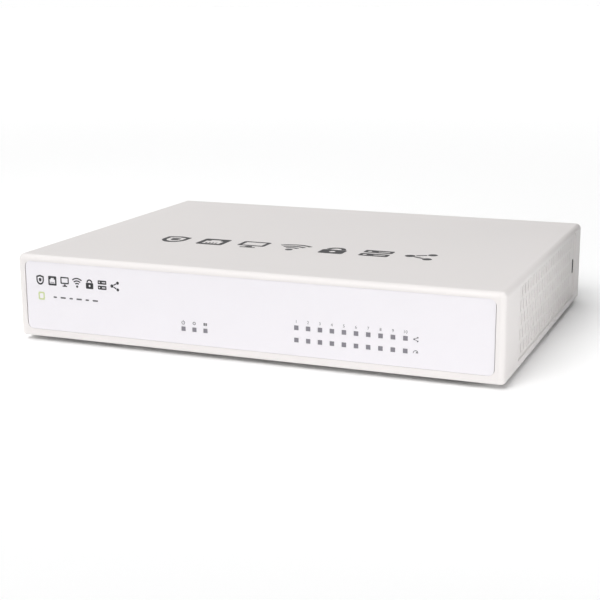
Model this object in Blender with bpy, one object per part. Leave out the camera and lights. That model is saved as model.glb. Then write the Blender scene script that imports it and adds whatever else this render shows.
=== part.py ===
"""Desktop network firewall, built as an assembly of separate pieces.

Metres, +Z up. The width runs along X, the front looks along -Y, and the origin is on the floor
under the middle of the case. The rear panel carries the sockets, the sides carry the vents.
"""

import math

import bmesh
import bpy
from mathutils import Matrix

# Case
CASE_WIDTH = 0.2160
CASE_DEPTH = 0.1600
CASE_TOP = 0.0385
GROUND_CLEARANCE = 0.0024
COVER_WALL = 0.0022
FRONT_WALL = 0.0030
EDGE_RADIUS = 0.0024
LOWER_EDGE_RADIUS = 0.0010
REAR_RECESS = 0.0020

# Clearances
GAP = 0.0003
TRAY_CLEARANCE = 0.0004
HOLE_CLEARANCE = 0.0005
PAST = 0.0010

# Front panel and its windows
PANEL_SIDE_MARGIN = 0.0035
PANEL_TOP_MARGIN = 0.0027
PANEL_LOWER_MARGIN = 0.0031
PANEL_THICKNESS = 0.0008
PANEL_SETBACK = 0.00015
PANEL_CORNER = 0.0025
PANEL_SEAM = 0.0004
WINDOW = 0.0022
WINDOW_PITCH = 0.00508
TIP = 0.0018
TIP_HOLE = 0.0024
STATUS_COUNT = 3
STATUS_X = -0.0227
MATRIX_COUNT = 10
MATRIX_X = 0.0459
LOWER_ROW_Z = 0.0121
ROW_RISE = 0.0051
GUIDE_BAR = 0.0030
GUIDE_LEG = 0.0020

# Side vents and lock slot
SIDE_RECESS = 0.0006
RECESS_FROM_FRONT = 0.0245
RECESS_LOWER_MARGIN = 0.0032
RECESS_TOP_MARGIN = 0.0023
RIM_DEPTH = 0.0125
VENT_WIDTH = 0.0020
VENT_HEIGHT = 0.0047
VENT_PITCH = 0.0053
VENT_ROW_PITCH = 0.0058
VENT_MARGIN = 0.0012
VENT_TO_RIM = 0.0075
LOCK_FROM_REAR = 0.0155
LOCK_Z = 0.0204
LOCK_WIDTH = 0.0030
LOCK_HEIGHT = 0.0070

# Sheet-metal tray
SHEET = 0.0010
TRAY_RISE = 0.0002
FLANGE_HEIGHT = 0.0045
LOCK_TAB_DEPTH = 0.0120
LOCK_TAB_COVER = 0.0030
KEYHOLE_SPACING = 0.1000
KEYHOLE_FROM_FRONT = 0.0850
KEYHOLE_RADIUS = 0.0036
KEYHOLE_NECK = 0.0038
KEYHOLE_NECK_LENGTH = 0.0080

# Posts, standoffs and screws
POST_RADIUS = 0.0027
POST_TO_FLANGE = 0.0005
POST_FROM_FRONT = 0.0200
POST_FROM_REAR = 0.0300
PILOT_DEPTH = 0.0090
COVER_SCREW_RADIUS = 0.0011
COVER_SCREW_LENGTH = 0.0090
COVER_SCREW_HEAD_RADIUS = 0.0025
COVER_SCREW_HEAD = 0.0013
STANDOFF_HEIGHT = 0.0038
STANDOFF_RADIUS = 0.0030
BOARD_SCREW_RADIUS = 0.0012
BOARD_SCREW_LENGTH = 0.0048
BOARD_SCREW_HEAD_RADIUS = 0.0027
BOARD_SCREW_HEAD = 0.0016
EARTH_SCREW_RADIUS = 0.0013
EARTH_SCREW_LENGTH = 0.0060
EARTH_SCREW_HEAD_RADIUS = 0.0030
EARTH_SCREW_HEAD = 0.0014
EARTH_FROM_SIDE = 0.0100
EARTH_FROM_TOP = 0.0095
RECESS_ARM = 0.00075
CROSS_LENGTH_SHARE = 0.62
CROSS_DEPTH_SHARE = 0.55
CROWN_SHARE = 0.35
POINT_SHARE = 0.60

# Feet and label
FOOT_RADIUS = 0.0065
FOOT_ROUNDING = 0.0006
FOOT_FROM_SIDE = 0.0200
FOOT_FROM_END = 0.0140
LABEL_WIDTH = 0.0700
LABEL_DEPTH = 0.0340
LABEL_THICKNESS = 0.00015
LABEL_FROM_REAR = 0.0450

# Board and what stands on it
BOARD_THICKNESS = 0.0016
BOARD_SIDE_SPACE = 0.0010
BOARD_END_SPACE = 0.0006
BOARD_SCREW_INSET = 0.0050
HEATSINK_WIDTH = 0.0620
HEATSINK_DEPTH = 0.0580
HEATSINK_BASE = 0.0030
FIN_HEIGHT = 0.0110
FIN_THICKNESS = 0.0012
FIN_COUNT = 12
FIN_END_SPACE = 0.0075
HEATSINK_X = 0.0120
PUSH_PIN_RADIUS = 0.0012
PUSH_PIN_HEAD_RADIUS = 0.0028
PUSH_PIN_HEAD = 0.0020
PUSH_PIN_INSET = 0.0040
PROCESSOR = (0.0230, 0.0230, 0.0020)
THERMAL_PAD = (0.0230, 0.0230, 0.0008)
MEMORY_CHIP = (0.0130, 0.0090, 0.0011)
FLASH_CHIP = (0.0080, 0.0060, 0.0016)
SWITCH_CHIP = (0.0180, 0.0180, 0.0016)
TRANSFORMER = (0.0150, 0.0090, 0.0055)
TRANSFORMER_COUNT = 5
TRANSFORMER_SPACE = 0.0030
INDUCTOR = (0.0100, 0.0100, 0.0050)
INDUCTOR_EDGE = 0.0008
CAPACITOR_RADIUS = 0.0040
CAPACITOR_HEIGHT = 0.0100
CAPACITOR_EDGE = 0.0005
CELL_RADIUS = 0.0100
CELL_HEIGHT = 0.0032
CELL_EDGE = 0.0004
HOLDER_WALL = 0.0012
HOLDER_FLOOR = 0.0008
CHIP_EDGE = 0.0002

# Sockets along the rear edge of the board
ROW_SPACE = 0.0024
SOCKET_WIDTH = 0.0117
SOCKET_HEIGHT = 0.0068
SOCKET_DEPTH = 0.0130
SOCKET_WALL = 0.0019
LATCH_WIDTH = 0.0052
LATCH_HEIGHT = 0.0020
SOCKET_FLOOR = 0.0010
SOCKET_ROOF = 0.0016
BLOCK_DEPTH = 0.0165
SHIELD_SHEET = 0.00035
BLOCK_PORTS = 5
SHELL_WIDTH = 0.0132
SHELL_HEIGHT = 0.0058
SHELL_DEPTH = 0.0140
SHELL_SHEET = 0.00035
TONGUE_WIDTH = 0.0111
TONGUE_THICKNESS = 0.0018
TONGUE_LENGTH = 0.0085
TONGUE_HEEL = 0.0030
TONGUE_DROP = 0.0010
POWER_WIDTH = 0.0092
POWER_HEIGHT = 0.0110
POWER_DEPTH = 0.0140
POWER_BORE_RADIUS = 0.0032
POWER_BORE_DEPTH = 0.0100
POWER_NOSE_RADIUS = 0.0042
POWER_AXIS_HEIGHT = 0.0058
POWER_PIN_RADIUS = 0.00105
POWER_PIN_LENGTH = 0.0090
RESET_WIDTH = 0.0062
RESET_DEPTH = 0.0060
RESET_HEIGHT = 0.0052
RESET_AXIS_HEIGHT = 0.0026
RESET_BUTTON_RADIUS = 0.0012
RESET_BUTTON_LENGTH = 0.0058
RESET_BUTTON_EDGE = 0.0003
RESET_TRAVEL = 0.0005
PINHOLE_RADIUS = 0.0010

# Facets
ROUND_SIDES = 24
SMALL_SIDES = 16
EDGE_SEGMENTS = 4

# Levels and faces that follow from the sizes above
HALF_WIDTH = CASE_WIDTH / 2
FRONT_Y = -CASE_DEPTH / 2
REAR_Y = CASE_DEPTH / 2
TRAY_Z = GROUND_CLEARANCE + TRAY_RISE
TRAY_TOP = TRAY_Z + SHEET
TRAY_HALF = HALF_WIDTH - COVER_WALL - TRAY_CLEARANCE
TRAY_FRONT = FRONT_Y + FRONT_WALL + TRAY_CLEARANCE
REAR_FACE = REAR_Y - REAR_RECESS
REAR_INNER = REAR_FACE - SHEET
BOARD_BOTTOM = TRAY_TOP + GAP + STANDOFF_HEIGHT + GAP
BOARD_TOP = BOARD_BOTTOM + BOARD_THICKNESS
POST_X = TRAY_HALF - SHEET - POST_TO_FLANGE - POST_RADIUS
BOARD_HALF = POST_X - POST_RADIUS - BOARD_SIDE_SPACE
BOARD_FRONT = TRAY_FRONT + SHEET + BOARD_END_SPACE
BOARD_REAR = REAR_INNER - BOARD_END_SPACE
POST_YS = (FRONT_Y + POST_FROM_FRONT, REAR_Y - POST_FROM_REAR)
SHIELD_EXTRA = GAP + SHIELD_SHEET
PORT_PITCH = SOCKET_WIDTH + SOCKET_WALL
BLOCK_HEIGHT = SOCKET_FLOOR + LATCH_HEIGHT + SOCKET_HEIGHT + SOCKET_ROOF
SHIELD_HEIGHT = BLOCK_HEIGHT + SHIELD_EXTRA
SOCKET_FACE = REAR_FACE + GAP
BLOCK_FRONT = SOCKET_FACE - SHIELD_EXTRA - BLOCK_DEPTH - SHIELD_EXTRA
TRANSFORMER_Y = BLOCK_FRONT - TRANSFORMER_SPACE - TRANSFORMER[1] / 2
PLATE_FRONT = FRONT_Y + PANEL_SETBACK
PANEL_FLOOR = PLATE_FRONT + PANEL_THICKNESS + GAP
GUIDE_FRONT = BOARD_FRONT + GUIDE_LEG
FREE_FRONT = GUIDE_FRONT + GUIDE_BAR + GUIDE_LEG + GUIDE_BAR
FREE_REAR = TRANSFORMER_Y - TRANSFORMER[1] / 2
FREE_MIDDLE = (FREE_FRONT + FREE_REAR) / 2
HEATSINK_Z = GAP + PROCESSOR[2] + GAP + THERMAL_PAD[2] + GAP


# ---------------------------------------------------------------- modelling helpers


def clear_scene():
    for obj in list(bpy.data.objects):
        bpy.data.objects.remove(obj, do_unlink=True)


def finish(name, colour, roughness, metallic=0.0):
    """A Principled material, made once for each finish."""
    found = bpy.data.materials.get(name)
    if found:
        return found
    made = bpy.data.materials.new(name)
    made.use_nodes = True
    shader = made.node_tree.nodes["Principled BSDF"]
    shader.inputs["Base Color"].default_value = (*colour, 1.0)
    shader.inputs["Roughness"].default_value = roughness
    shader.inputs["Metallic"].default_value = metallic
    return made


def add_box(bm, low, high):
    size = [b - a for a, b in zip(low, high)]
    centre = [(a + b) / 2 for a, b in zip(low, high)]
    matrix = Matrix.Translation(centre) @ Matrix.Diagonal((*size, 1.0))
    bmesh.ops.create_cube(bm, size=1.0, matrix=matrix)


def add_standing_box(bm, size, x=0.0, y=0.0, z=0.0):
    """A box of (width, depth, height) that stands on z, centred on x and y."""
    width, depth, height = size
    add_box(bm, (x - width / 2, y - depth / 2, z), (x + width / 2, y + depth / 2, z + height))


def add_rod(bm, centre, radius, length, along_y=False, sides=ROUND_SIDES):
    turn = Matrix.Rotation(math.pi / 2, 4, "X") if along_y else Matrix.Identity(4)
    bmesh.ops.create_cone(
        bm,
        cap_ends=True,
        segments=sides,
        radius1=radius,
        radius2=radius,
        depth=length,
        matrix=Matrix.Translation(centre) @ turn,
    )


def round_edges(bm, edges, radius, segments=EDGE_SEGMENTS):
    bmesh.ops.bevel(bm, geom=edges, offset=radius, segments=segments, profile=0.5, affect="EDGES")


def edges_along(bm, axis):
    """The straight edges that run along one axis."""
    others = [i for i in range(3) if i != axis]
    found = []
    for edge in bm.edges:
        run = edge.verts[1].co - edge.verts[0].co
        if all(abs(run[i]) < 1e-7 for i in others):
            found.append(edge)
    return found


def mesh_from(bm, name):
    mesh = bpy.data.meshes.new(name)
    bm.to_mesh(mesh)
    bm.free()
    return mesh


def turned_mesh(name, profile, sides=ROUND_SIDES):
    """A solid of revolution about Z. The profile runs from the axis round to the axis."""
    bm = bmesh.new()
    verts = [bm.verts.new((radius, 0.0, z)) for radius, z in profile]
    edges = [bm.edges.new(pair) for pair in zip(verts, verts[1:])]
    bmesh.ops.spin(
        bm,
        geom=verts + edges,
        cent=(0.0, 0.0, 0.0),
        axis=(0.0, 0.0, 1.0),
        angle=2 * math.pi,
        steps=sides,
        use_merge=True,
    )
    bmesh.ops.remove_doubles(bm, verts=bm.verts, dist=1e-7)
    bmesh.ops.recalc_face_normals(bm, faces=bm.faces)
    mesh = mesh_from(bm, name)
    mesh.shade_smooth()
    mesh.set_sharp_from_angle(angle=math.radians(40))
    return mesh


def chip_mesh(name, size, edge=CHIP_EDGE):
    """A block that stands on z = 0 with its upright and top edges broken."""
    bm = bmesh.new()
    add_standing_box(bm, size)
    top = [e for e in bm.edges if min(v.co.z for v in e.verts) > size[2] / 2]
    round_edges(bm, edges_along(bm, 2) + top, edge, segments=1)
    return mesh_from(bm, name)


def piece(name, mesh, material, location=(0.0, 0.0, 0.0), parent=None):
    obj = bpy.data.objects.new(name, mesh)
    obj.location = location
    obj.parent = parent
    if not mesh.materials:
        mesh.materials.append(material)
    bpy.context.scene.collection.objects.link(obj)
    return obj


def shape_with(target, name, bm, operation="DIFFERENCE"):
    """Cuts a hidden tool out of the target, or joins it on."""
    tool = bpy.data.objects.new(name, mesh_from(bm, name))
    tool.hide_render = True
    tool.display_type = "WIRE"
    tool.parent = target
    bpy.context.scene.collection.objects.link(tool)
    modifier = target.modifiers.new(name, "BOOLEAN")
    modifier.operation = operation
    modifier.solver = "EXACT"
    modifier.object = tool


# ---------------------------------------------------------------- places shared by pieces


def status_places():
    middle = (STATUS_COUNT - 1) / 2
    return [(STATUS_X + (i - middle) * WINDOW_PITCH, LOWER_ROW_Z) for i in range(STATUS_COUNT)]


def matrix_places(row):
    middle = (MATRIX_COUNT - 1) / 2
    z = LOWER_ROW_Z + row * ROW_RISE
    return [(MATRIX_X + (i - middle) * WINDOW_PITCH, z) for i in range(MATRIX_COUNT)]


def window_places():
    return status_places() + matrix_places(0) + matrix_places(1)


def vent_places():
    """(y, z) of each vent slot. Every other row is moved along by half a pitch."""
    front = FRONT_Y + RECESS_FROM_FRONT + VENT_MARGIN + VENT_WIDTH / 2
    rear = REAR_Y - RIM_DEPTH - VENT_TO_RIM - VENT_WIDTH / 2
    low = GROUND_CLEARANCE + RECESS_LOWER_MARGIN
    high = CASE_TOP - RECESS_TOP_MARGIN
    rows = 1 + int((high - low - 2 * VENT_MARGIN - VENT_HEIGHT) / VENT_ROW_PITCH)
    first_z = (low + high) / 2 - (rows - 1) / 2 * VENT_ROW_PITCH
    places = []
    for row in range(rows):
        shift = VENT_PITCH / 2 if row % 2 else 0.0
        count = 1 + int((rear - front - shift) / VENT_PITCH)
        z = first_z + row * VENT_ROW_PITCH
        places += [(front + shift + i * VENT_PITCH, z) for i in range(count)]
    return places


def post_places():
    return [(side * POST_X, y) for y in POST_YS for side in (-1, 1)]


def board_screw_places():
    x = BOARD_HALF - BOARD_SCREW_INSET
    ys = (BOARD_FRONT + BOARD_SCREW_INSET, FREE_REAR - BOARD_SCREW_INSET)
    return [(side * x, y) for y in ys for side in (-1, 1)]


def push_pin_places():
    x = HEATSINK_WIDTH / 2 - PUSH_PIN_INSET
    y = HEATSINK_DEPTH / 2 - PUSH_PIN_INSET
    return [(HEATSINK_X - x, FREE_MIDDLE - y), (HEATSINK_X + x, FREE_MIDDLE + y)]


def block_width(ports):
    return ports * PORT_PITCH


def rear_row():
    """Centre x of each socket along the rear edge, laid side by side and centred on the case."""
    block = block_width(BLOCK_PORTS) + 2 * SHIELD_EXTRA
    widths = {
        "left_port": block,
        "right_port": block,
        "usb": SHELL_WIDTH,
        "console": block_width(1) + 2 * SHIELD_EXTRA,
        "reset": RESET_WIDTH,
        "power": POWER_WIDTH,
    }
    total = sum(widths.values()) + ROW_SPACE * (len(widths) - 1)
    x = -total / 2
    centres = {}
    for name, width in widths.items():
        centres[name] = x + width / 2
        x += width + ROW_SPACE
    return centres


# ---------------------------------------------------------------- case


def cover_shell_mesh():
    """The outer block of the cover with its fillets."""
    bm = bmesh.new()
    add_box(bm, (-HALF_WIDTH, FRONT_Y, GROUND_CLEARANCE), (HALF_WIDTH, REAR_Y, CASE_TOP))
    middle = (GROUND_CLEARANCE + CASE_TOP) / 2

    def at_rear(edge):
        return all(v.co.y > 0 for v in edge.verts)

    def at_bottom(edge):
        return all(v.co.z < middle for v in edge.verts)

    upper = [e for e in bm.edges if not at_rear(e) and not at_bottom(e)]
    round_edges(bm, upper, EDGE_RADIUS)
    lower = []
    for edge in bm.edges:
        level = all(abs(v.co.z - GROUND_CLEARANCE) < 1e-6 for v in edge.verts)
        if level and not all(v.co.y > REAR_Y - 1e-6 for v in edge.verts):
            lower.append(edge)
    round_edges(bm, lower, LOWER_EDGE_RADIUS, segments=2)
    return mesh_from(bm, "top_cover")


def cover_cavity():
    bm = bmesh.new()
    inner = HALF_WIDTH - COVER_WALL
    low = (-inner, FRONT_Y + FRONT_WALL, GROUND_CLEARANCE - PAST)
    add_box(bm, low, (inner, REAR_Y + PAST, CASE_TOP - COVER_WALL))
    return bm


def cover_posts():
    bm = bmesh.new()
    low = TRAY_TOP + GAP
    high = CASE_TOP - COVER_WALL / 2
    for x, y in post_places():
        add_rod(bm, (x, y, (low + high) / 2), POST_RADIUS, high - low, sides=SMALL_SIDES)
    return bm


def pilot_holes():
    bm = bmesh.new()
    low = TRAY_TOP + GAP - PAST
    for x, y in post_places():
        centre = (x, y, low + (PILOT_DEPTH + PAST) / 2)
        add_rod(bm, centre, COVER_SCREW_RADIUS + GAP, PILOT_DEPTH + PAST, sides=SMALL_SIDES)
    return bm


def plate_outline(bm, front, back, growth):
    """The front panel's outline with round corners, grown all round."""
    half = HALF_WIDTH - PANEL_SIDE_MARGIN - PANEL_SEAM + growth
    low = GROUND_CLEARANCE + PANEL_LOWER_MARGIN + PANEL_SEAM - growth
    high = CASE_TOP - PANEL_TOP_MARGIN - PANEL_SEAM + growth
    add_box(bm, (-half, front, low), (half, back, high))
    round_edges(bm, edges_along(bm, 1), PANEL_CORNER + growth)


def panel_recess():
    bm = bmesh.new()
    plate_outline(bm, FRONT_Y - PAST, PANEL_FLOOR, PANEL_SEAM)
    return bm


def window_holes(size, front, back):
    bm = bmesh.new()
    half = size / 2
    for x, z in window_places():
        add_box(bm, (x - half, front, z - half), (x + half, back, z + half))
    return bm


def side_recesses():
    bm = bmesh.new()
    low = GROUND_CLEARANCE + RECESS_LOWER_MARGIN
    high = CASE_TOP - RECESS_TOP_MARGIN
    front = FRONT_Y + RECESS_FROM_FRONT
    rear = REAR_Y - RIM_DEPTH
    floor = HALF_WIDTH - SIDE_RECESS
    add_box(bm, (floor, front, low), (HALF_WIDTH + PAST, rear, high))
    add_box(bm, (-HALF_WIDTH - PAST, front, low), (-floor, rear, high))
    return bm


def vent_slots():
    bm = bmesh.new()
    inner = HALF_WIDTH - COVER_WALL - PAST / 2
    outer = HALF_WIDTH + PAST
    half_y = VENT_WIDTH / 2
    half_z = VENT_HEIGHT / 2
    for y, z in vent_places():
        for low_x, high_x in ((inner, outer), (-outer, -inner)):
            add_box(bm, (low_x, y - half_y, z - half_z), (high_x, y + half_y, z + half_z))
    return bm


def lock_slot(growth):
    """The slot for a security lock, cut through the right side only."""
    bm = bmesh.new()
    y = REAR_Y - LOCK_FROM_REAR
    half_y = LOCK_WIDTH / 2 + growth
    half_z = LOCK_HEIGHT / 2 + growth
    inner = TRAY_HALF - SHEET - PAST
    add_box(bm, (inner, y - half_y, LOCK_Z - half_z), (HALF_WIDTH + PAST, y + half_y, LOCK_Z + half_z))
    return bm


def top_cover():
    white = finish("white_moulding", (0.80, 0.78, 0.77), 0.45)
    cover = piece("top_cover", cover_shell_mesh(), white)
    shape_with(cover, "cover_cavity", cover_cavity())
    shape_with(cover, "cover_posts", cover_posts(), "UNION")
    shape_with(cover, "pilot_holes", pilot_holes())
    shape_with(cover, "panel_recess", panel_recess())
    shape_with(cover, "tip_holes", window_holes(TIP_HOLE, FRONT_Y, FRONT_Y + FRONT_WALL + PAST))
    shape_with(cover, "side_recesses", side_recesses())
    shape_with(cover, "vent_slots", vent_slots())
    shape_with(cover, "lock_slot", lock_slot(0.0))


def front_panel():
    gloss = finish("white_gloss_panel", (0.90, 0.89, 0.90), 0.18)
    bm = bmesh.new()
    plate_outline(bm, PLATE_FRONT, PLATE_FRONT + PANEL_THICKNESS, 0.0)
    panel = piece("front_panel", mesh_from(bm, "front_panel"), gloss)
    shape_with(panel, "windows", window_holes(WINDOW, FRONT_Y - PAST, PANEL_FLOOR))


def tray_block_mesh():
    bm = bmesh.new()
    high = CASE_TOP - COVER_WALL - TRAY_CLEARANCE
    add_box(bm, (-TRAY_HALF, TRAY_FRONT, TRAY_Z), (TRAY_HALF, REAR_FACE, high))
    return mesh_from(bm, "base_tray")


def tray_hollow():
    bm = bmesh.new()
    half = TRAY_HALF - SHEET
    add_box(bm, (-half, TRAY_FRONT + SHEET, TRAY_TOP), (half, REAR_INNER, CASE_TOP + PAST))
    return bm


def tray_open_top():
    """Leaves low flanges at the front and sides and the full height at the rear."""
    bm = bmesh.new()
    low = (-HALF_WIDTH, FRONT_Y, TRAY_Z + FLANGE_HEIGHT)
    add_box(bm, low, (HALF_WIDTH, REAR_INNER, CASE_TOP + PAST))
    return bm


def lock_tab():
    """A tab of the right flange that backs the cover behind the lock slot."""
    bm = bmesh.new()
    y = REAR_Y - LOCK_FROM_REAR
    half = LOCK_TAB_DEPTH / 2
    high = LOCK_Z + LOCK_HEIGHT / 2 + LOCK_TAB_COVER
    add_box(bm, (TRAY_HALF - SHEET, y - half, TRAY_Z + SHEET), (TRAY_HALF, y + half, high))
    return bm


def tray_round_holes():
    """Clearance holes for the cover screws and the round ends of the two keyholes."""
    bm = bmesh.new()
    middle = TRAY_Z + SHEET / 2
    for x, y in post_places():
        radius = COVER_SCREW_RADIUS + HOLE_CLEARANCE
        add_rod(bm, (x, y, middle), radius, SHEET + 2 * PAST, sides=SMALL_SIDES)
    for side in (-1, 1):
        centre = (side * KEYHOLE_SPACING / 2, FRONT_Y + KEYHOLE_FROM_FRONT, middle)
        add_rod(bm, centre, KEYHOLE_RADIUS, SHEET + 2 * PAST)
    return bm


def keyhole_necks():
    bm = bmesh.new()
    y = FRONT_Y + KEYHOLE_FROM_FRONT
    half = KEYHOLE_NECK / 2
    for side in (-1, 1):
        x = side * KEYHOLE_SPACING / 2
        low = (x - half, y - KEYHOLE_RADIUS - KEYHOLE_NECK_LENGTH, TRAY_Z - PAST)
        add_box(bm, low, (x + half, y, TRAY_TOP + PAST))
    return bm


def rear_openings():
    """The holes in the rear panel, each with its socket's clearance."""
    row = rear_row()
    bm = bmesh.new()

    def opening(x, width, low, height):
        half = width / 2 + HOLE_CLEARANCE
        low_z = BOARD_TOP + low - HOLE_CLEARANCE
        high_z = BOARD_TOP + low + height + HOLE_CLEARANCE
        add_box(bm, (x - half, REAR_INNER - PAST, low_z), (x + half, REAR_FACE + PAST, high_z))

    def round_opening(x, z, radius):
        middle = (REAR_INNER + REAR_FACE) / 2
        add_rod(bm, (x, middle, z), radius, SHEET + 2 * PAST, along_y=True)

    block = block_width(BLOCK_PORTS) + 2 * SHIELD_EXTRA
    opening(row["left_port"], block, GAP, SHIELD_HEIGHT)
    opening(row["right_port"], block, GAP, SHIELD_HEIGHT)
    opening(row["console"], block_width(1) + 2 * SHIELD_EXTRA, GAP, SHIELD_HEIGHT)
    opening(row["usb"], SHELL_WIDTH, GAP, SHELL_HEIGHT)
    power_z = BOARD_TOP + GAP + POWER_AXIS_HEIGHT
    round_opening(row["power"], power_z, POWER_NOSE_RADIUS + HOLE_CLEARANCE)
    round_opening(row["reset"], BOARD_TOP + GAP + RESET_AXIS_HEIGHT, PINHOLE_RADIUS)
    earth_z = CASE_TOP - EARTH_FROM_TOP
    round_opening(HALF_WIDTH - EARTH_FROM_SIDE, earth_z, EARTH_SCREW_RADIUS + HOLE_CLEARANCE)
    return bm


def base_tray():
    steel = finish("powder_coat", (0.70, 0.69, 0.675), 0.48)
    tray = piece("base_tray", tray_block_mesh(), steel)
    shape_with(tray, "tray_hollow", tray_hollow())
    shape_with(tray, "tray_open_top", tray_open_top())
    shape_with(tray, "lock_tab", lock_tab(), "UNION")
    shape_with(tray, "tab_slot", lock_slot(GAP))
    shape_with(tray, "tray_round_holes", tray_round_holes())
    shape_with(tray, "keyhole_necks", keyhole_necks())
    shape_with(tray, "rear_openings", rear_openings())


def rubber_feet():
    rubber = finish("grey_rubber", (0.10, 0.10, 0.105), 0.85)
    height = TRAY_Z - GAP
    profile = [(0.0, 0.0), (FOOT_RADIUS - FOOT_ROUNDING, 0.0), (FOOT_RADIUS, FOOT_ROUNDING)]
    profile += [(FOOT_RADIUS, height), (0.0, height)]
    mesh = turned_mesh("rubber_foot", profile)
    x = HALF_WIDTH - FOOT_FROM_SIDE
    y = CASE_DEPTH / 2 - FOOT_FROM_END
    corners = {"front_left": (-x, -y), "front_right": (x, -y), "rear_left": (-x, y), "rear_right": (x, y)}
    for corner, (foot_x, foot_y) in corners.items():
        piece("foot_" + corner, mesh, rubber, (foot_x, foot_y, 0.0))


def rating_label():
    paper = finish("silver_label_film", (0.75, 0.76, 0.77), 0.5)
    bm = bmesh.new()
    add_standing_box(bm, (LABEL_WIDTH, LABEL_DEPTH, LABEL_THICKNESS))
    z = TRAY_Z - GAP - LABEL_THICKNESS
    piece("rating_label", mesh_from(bm, "rating_label"), paper, (0.0, REAR_Y - LABEL_FROM_REAR, z))


# ---------------------------------------------------------------- screws


def screw_mesh(name, radius, length, head_radius, head):
    """A pan-head screw with a cross recess. Its shank points down and its head starts at z = 0."""
    crown = head * CROWN_SHARE
    profile = [(0.0, -length), (radius * POINT_SHARE, -length), (radius, -length + radius), (radius, 0.0)]
    profile += [(head_radius, 0.0), (head_radius, head - crown), (head_radius - crown, head), (0.0, head)]
    blank = piece("blank", turned_mesh(name, profile, SMALL_SIDES), None)
    half = head_radius * CROSS_LENGTH_SHARE
    depth = head * CROSS_DEPTH_SHARE
    for tool, across in (("slot_a", (half, RECESS_ARM / 2)), ("slot_b", (RECESS_ARM / 2, half))):
        bm = bmesh.new()
        add_box(bm, (-across[0], -across[1], head - depth), (across[0], across[1], head + PAST))
        shape_with(blank, tool, bm)
    bpy.context.view_layer.update()
    graph = bpy.context.evaluated_depsgraph_get()
    mesh = bpy.data.meshes.new_from_object(blank.evaluated_get(graph), depsgraph=graph)
    mesh.name = name
    mesh.materials.clear()
    for obj in list(blank.children) + [blank]:
        bpy.data.objects.remove(obj, do_unlink=True)
    return mesh


def cover_screws():
    steel = finish("screw_steel", (0.55, 0.55, 0.56), 0.3, 1.0)
    sizes = (COVER_SCREW_RADIUS, COVER_SCREW_LENGTH, COVER_SCREW_HEAD_RADIUS, COVER_SCREW_HEAD)
    mesh = screw_mesh("cover_screw", *sizes)
    for number, (x, y) in enumerate(post_places(), 1):
        screw = piece(f"cover_screw_{number}", mesh, steel, (x, y, TRAY_Z - GAP))
        screw.rotation_euler = (math.pi, 0.0, 0.0)


def earth_screw():
    steel = finish("screw_steel", (0.55, 0.55, 0.56), 0.3, 1.0)
    sizes = (EARTH_SCREW_RADIUS, EARTH_SCREW_LENGTH, EARTH_SCREW_HEAD_RADIUS, EARTH_SCREW_HEAD)
    mesh = screw_mesh("earth_screw", *sizes)
    place = (HALF_WIDTH - EARTH_FROM_SIDE, REAR_FACE + GAP, CASE_TOP - EARTH_FROM_TOP)
    screw = piece("earth_screw", mesh, steel, place)
    screw.rotation_euler = (-math.pi / 2, 0.0, 0.0)


def board_standoffs_and_screws(board_level):
    brass = finish("nickel_standoff", (0.66, 0.63, 0.55), 0.35, 1.0)
    steel = finish("screw_steel", (0.55, 0.55, 0.56), 0.3, 1.0)
    bore = BOARD_SCREW_RADIUS + GAP
    rise = STANDOFF_HEIGHT
    bm = bmesh.new()
    add_rod(bm, (0.0, 0.0, rise / 2), STANDOFF_RADIUS, rise, sides=6)
    post = mesh_from(bm, "board_standoff")
    sizes = (BOARD_SCREW_RADIUS, BOARD_SCREW_LENGTH, BOARD_SCREW_HEAD_RADIUS, BOARD_SCREW_HEAD)
    screw = screw_mesh("board_screw", *sizes)
    for number, (x, y) in enumerate(board_screw_places(), 1):
        standoff = piece(f"board_standoff_{number}", post, brass, (x, y, TRAY_TOP + GAP))
        tool = bmesh.new()
        add_rod(tool, (0.0, 0.0, rise / 2), bore, rise + 2 * PAST, sides=SMALL_SIDES)
        shape_with(standoff, f"standoff_bore_{number}", tool)
        piece(f"board_screw_{number}", screw, steel, (x, y, GAP), board_level)


# ---------------------------------------------------------------- board and chips


def main_board():
    green = finish("green_board", (0.04, 0.16, 0.08), 0.4)
    bm = bmesh.new()
    add_box(bm, (-BOARD_HALF, BOARD_FRONT, BOARD_BOTTOM), (BOARD_HALF, BOARD_REAR, BOARD_TOP))
    board = piece("main_board", mesh_from(bm, "main_board"), green)
    middle = (BOARD_BOTTOM + BOARD_TOP) / 2
    holes = [(place, BOARD_SCREW_RADIUS + HOLE_CLEARANCE) for place in board_screw_places()]
    holes += [(place, PUSH_PIN_RADIUS + HOLE_CLEARANCE) for place in push_pin_places()]
    tool = bmesh.new()
    for (x, y), radius in holes:
        add_rod(tool, (x, y, middle), radius, BOARD_THICKNESS + 2 * PAST, sides=SMALL_SIDES)
    shape_with(board, "board_holes", tool)


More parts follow.
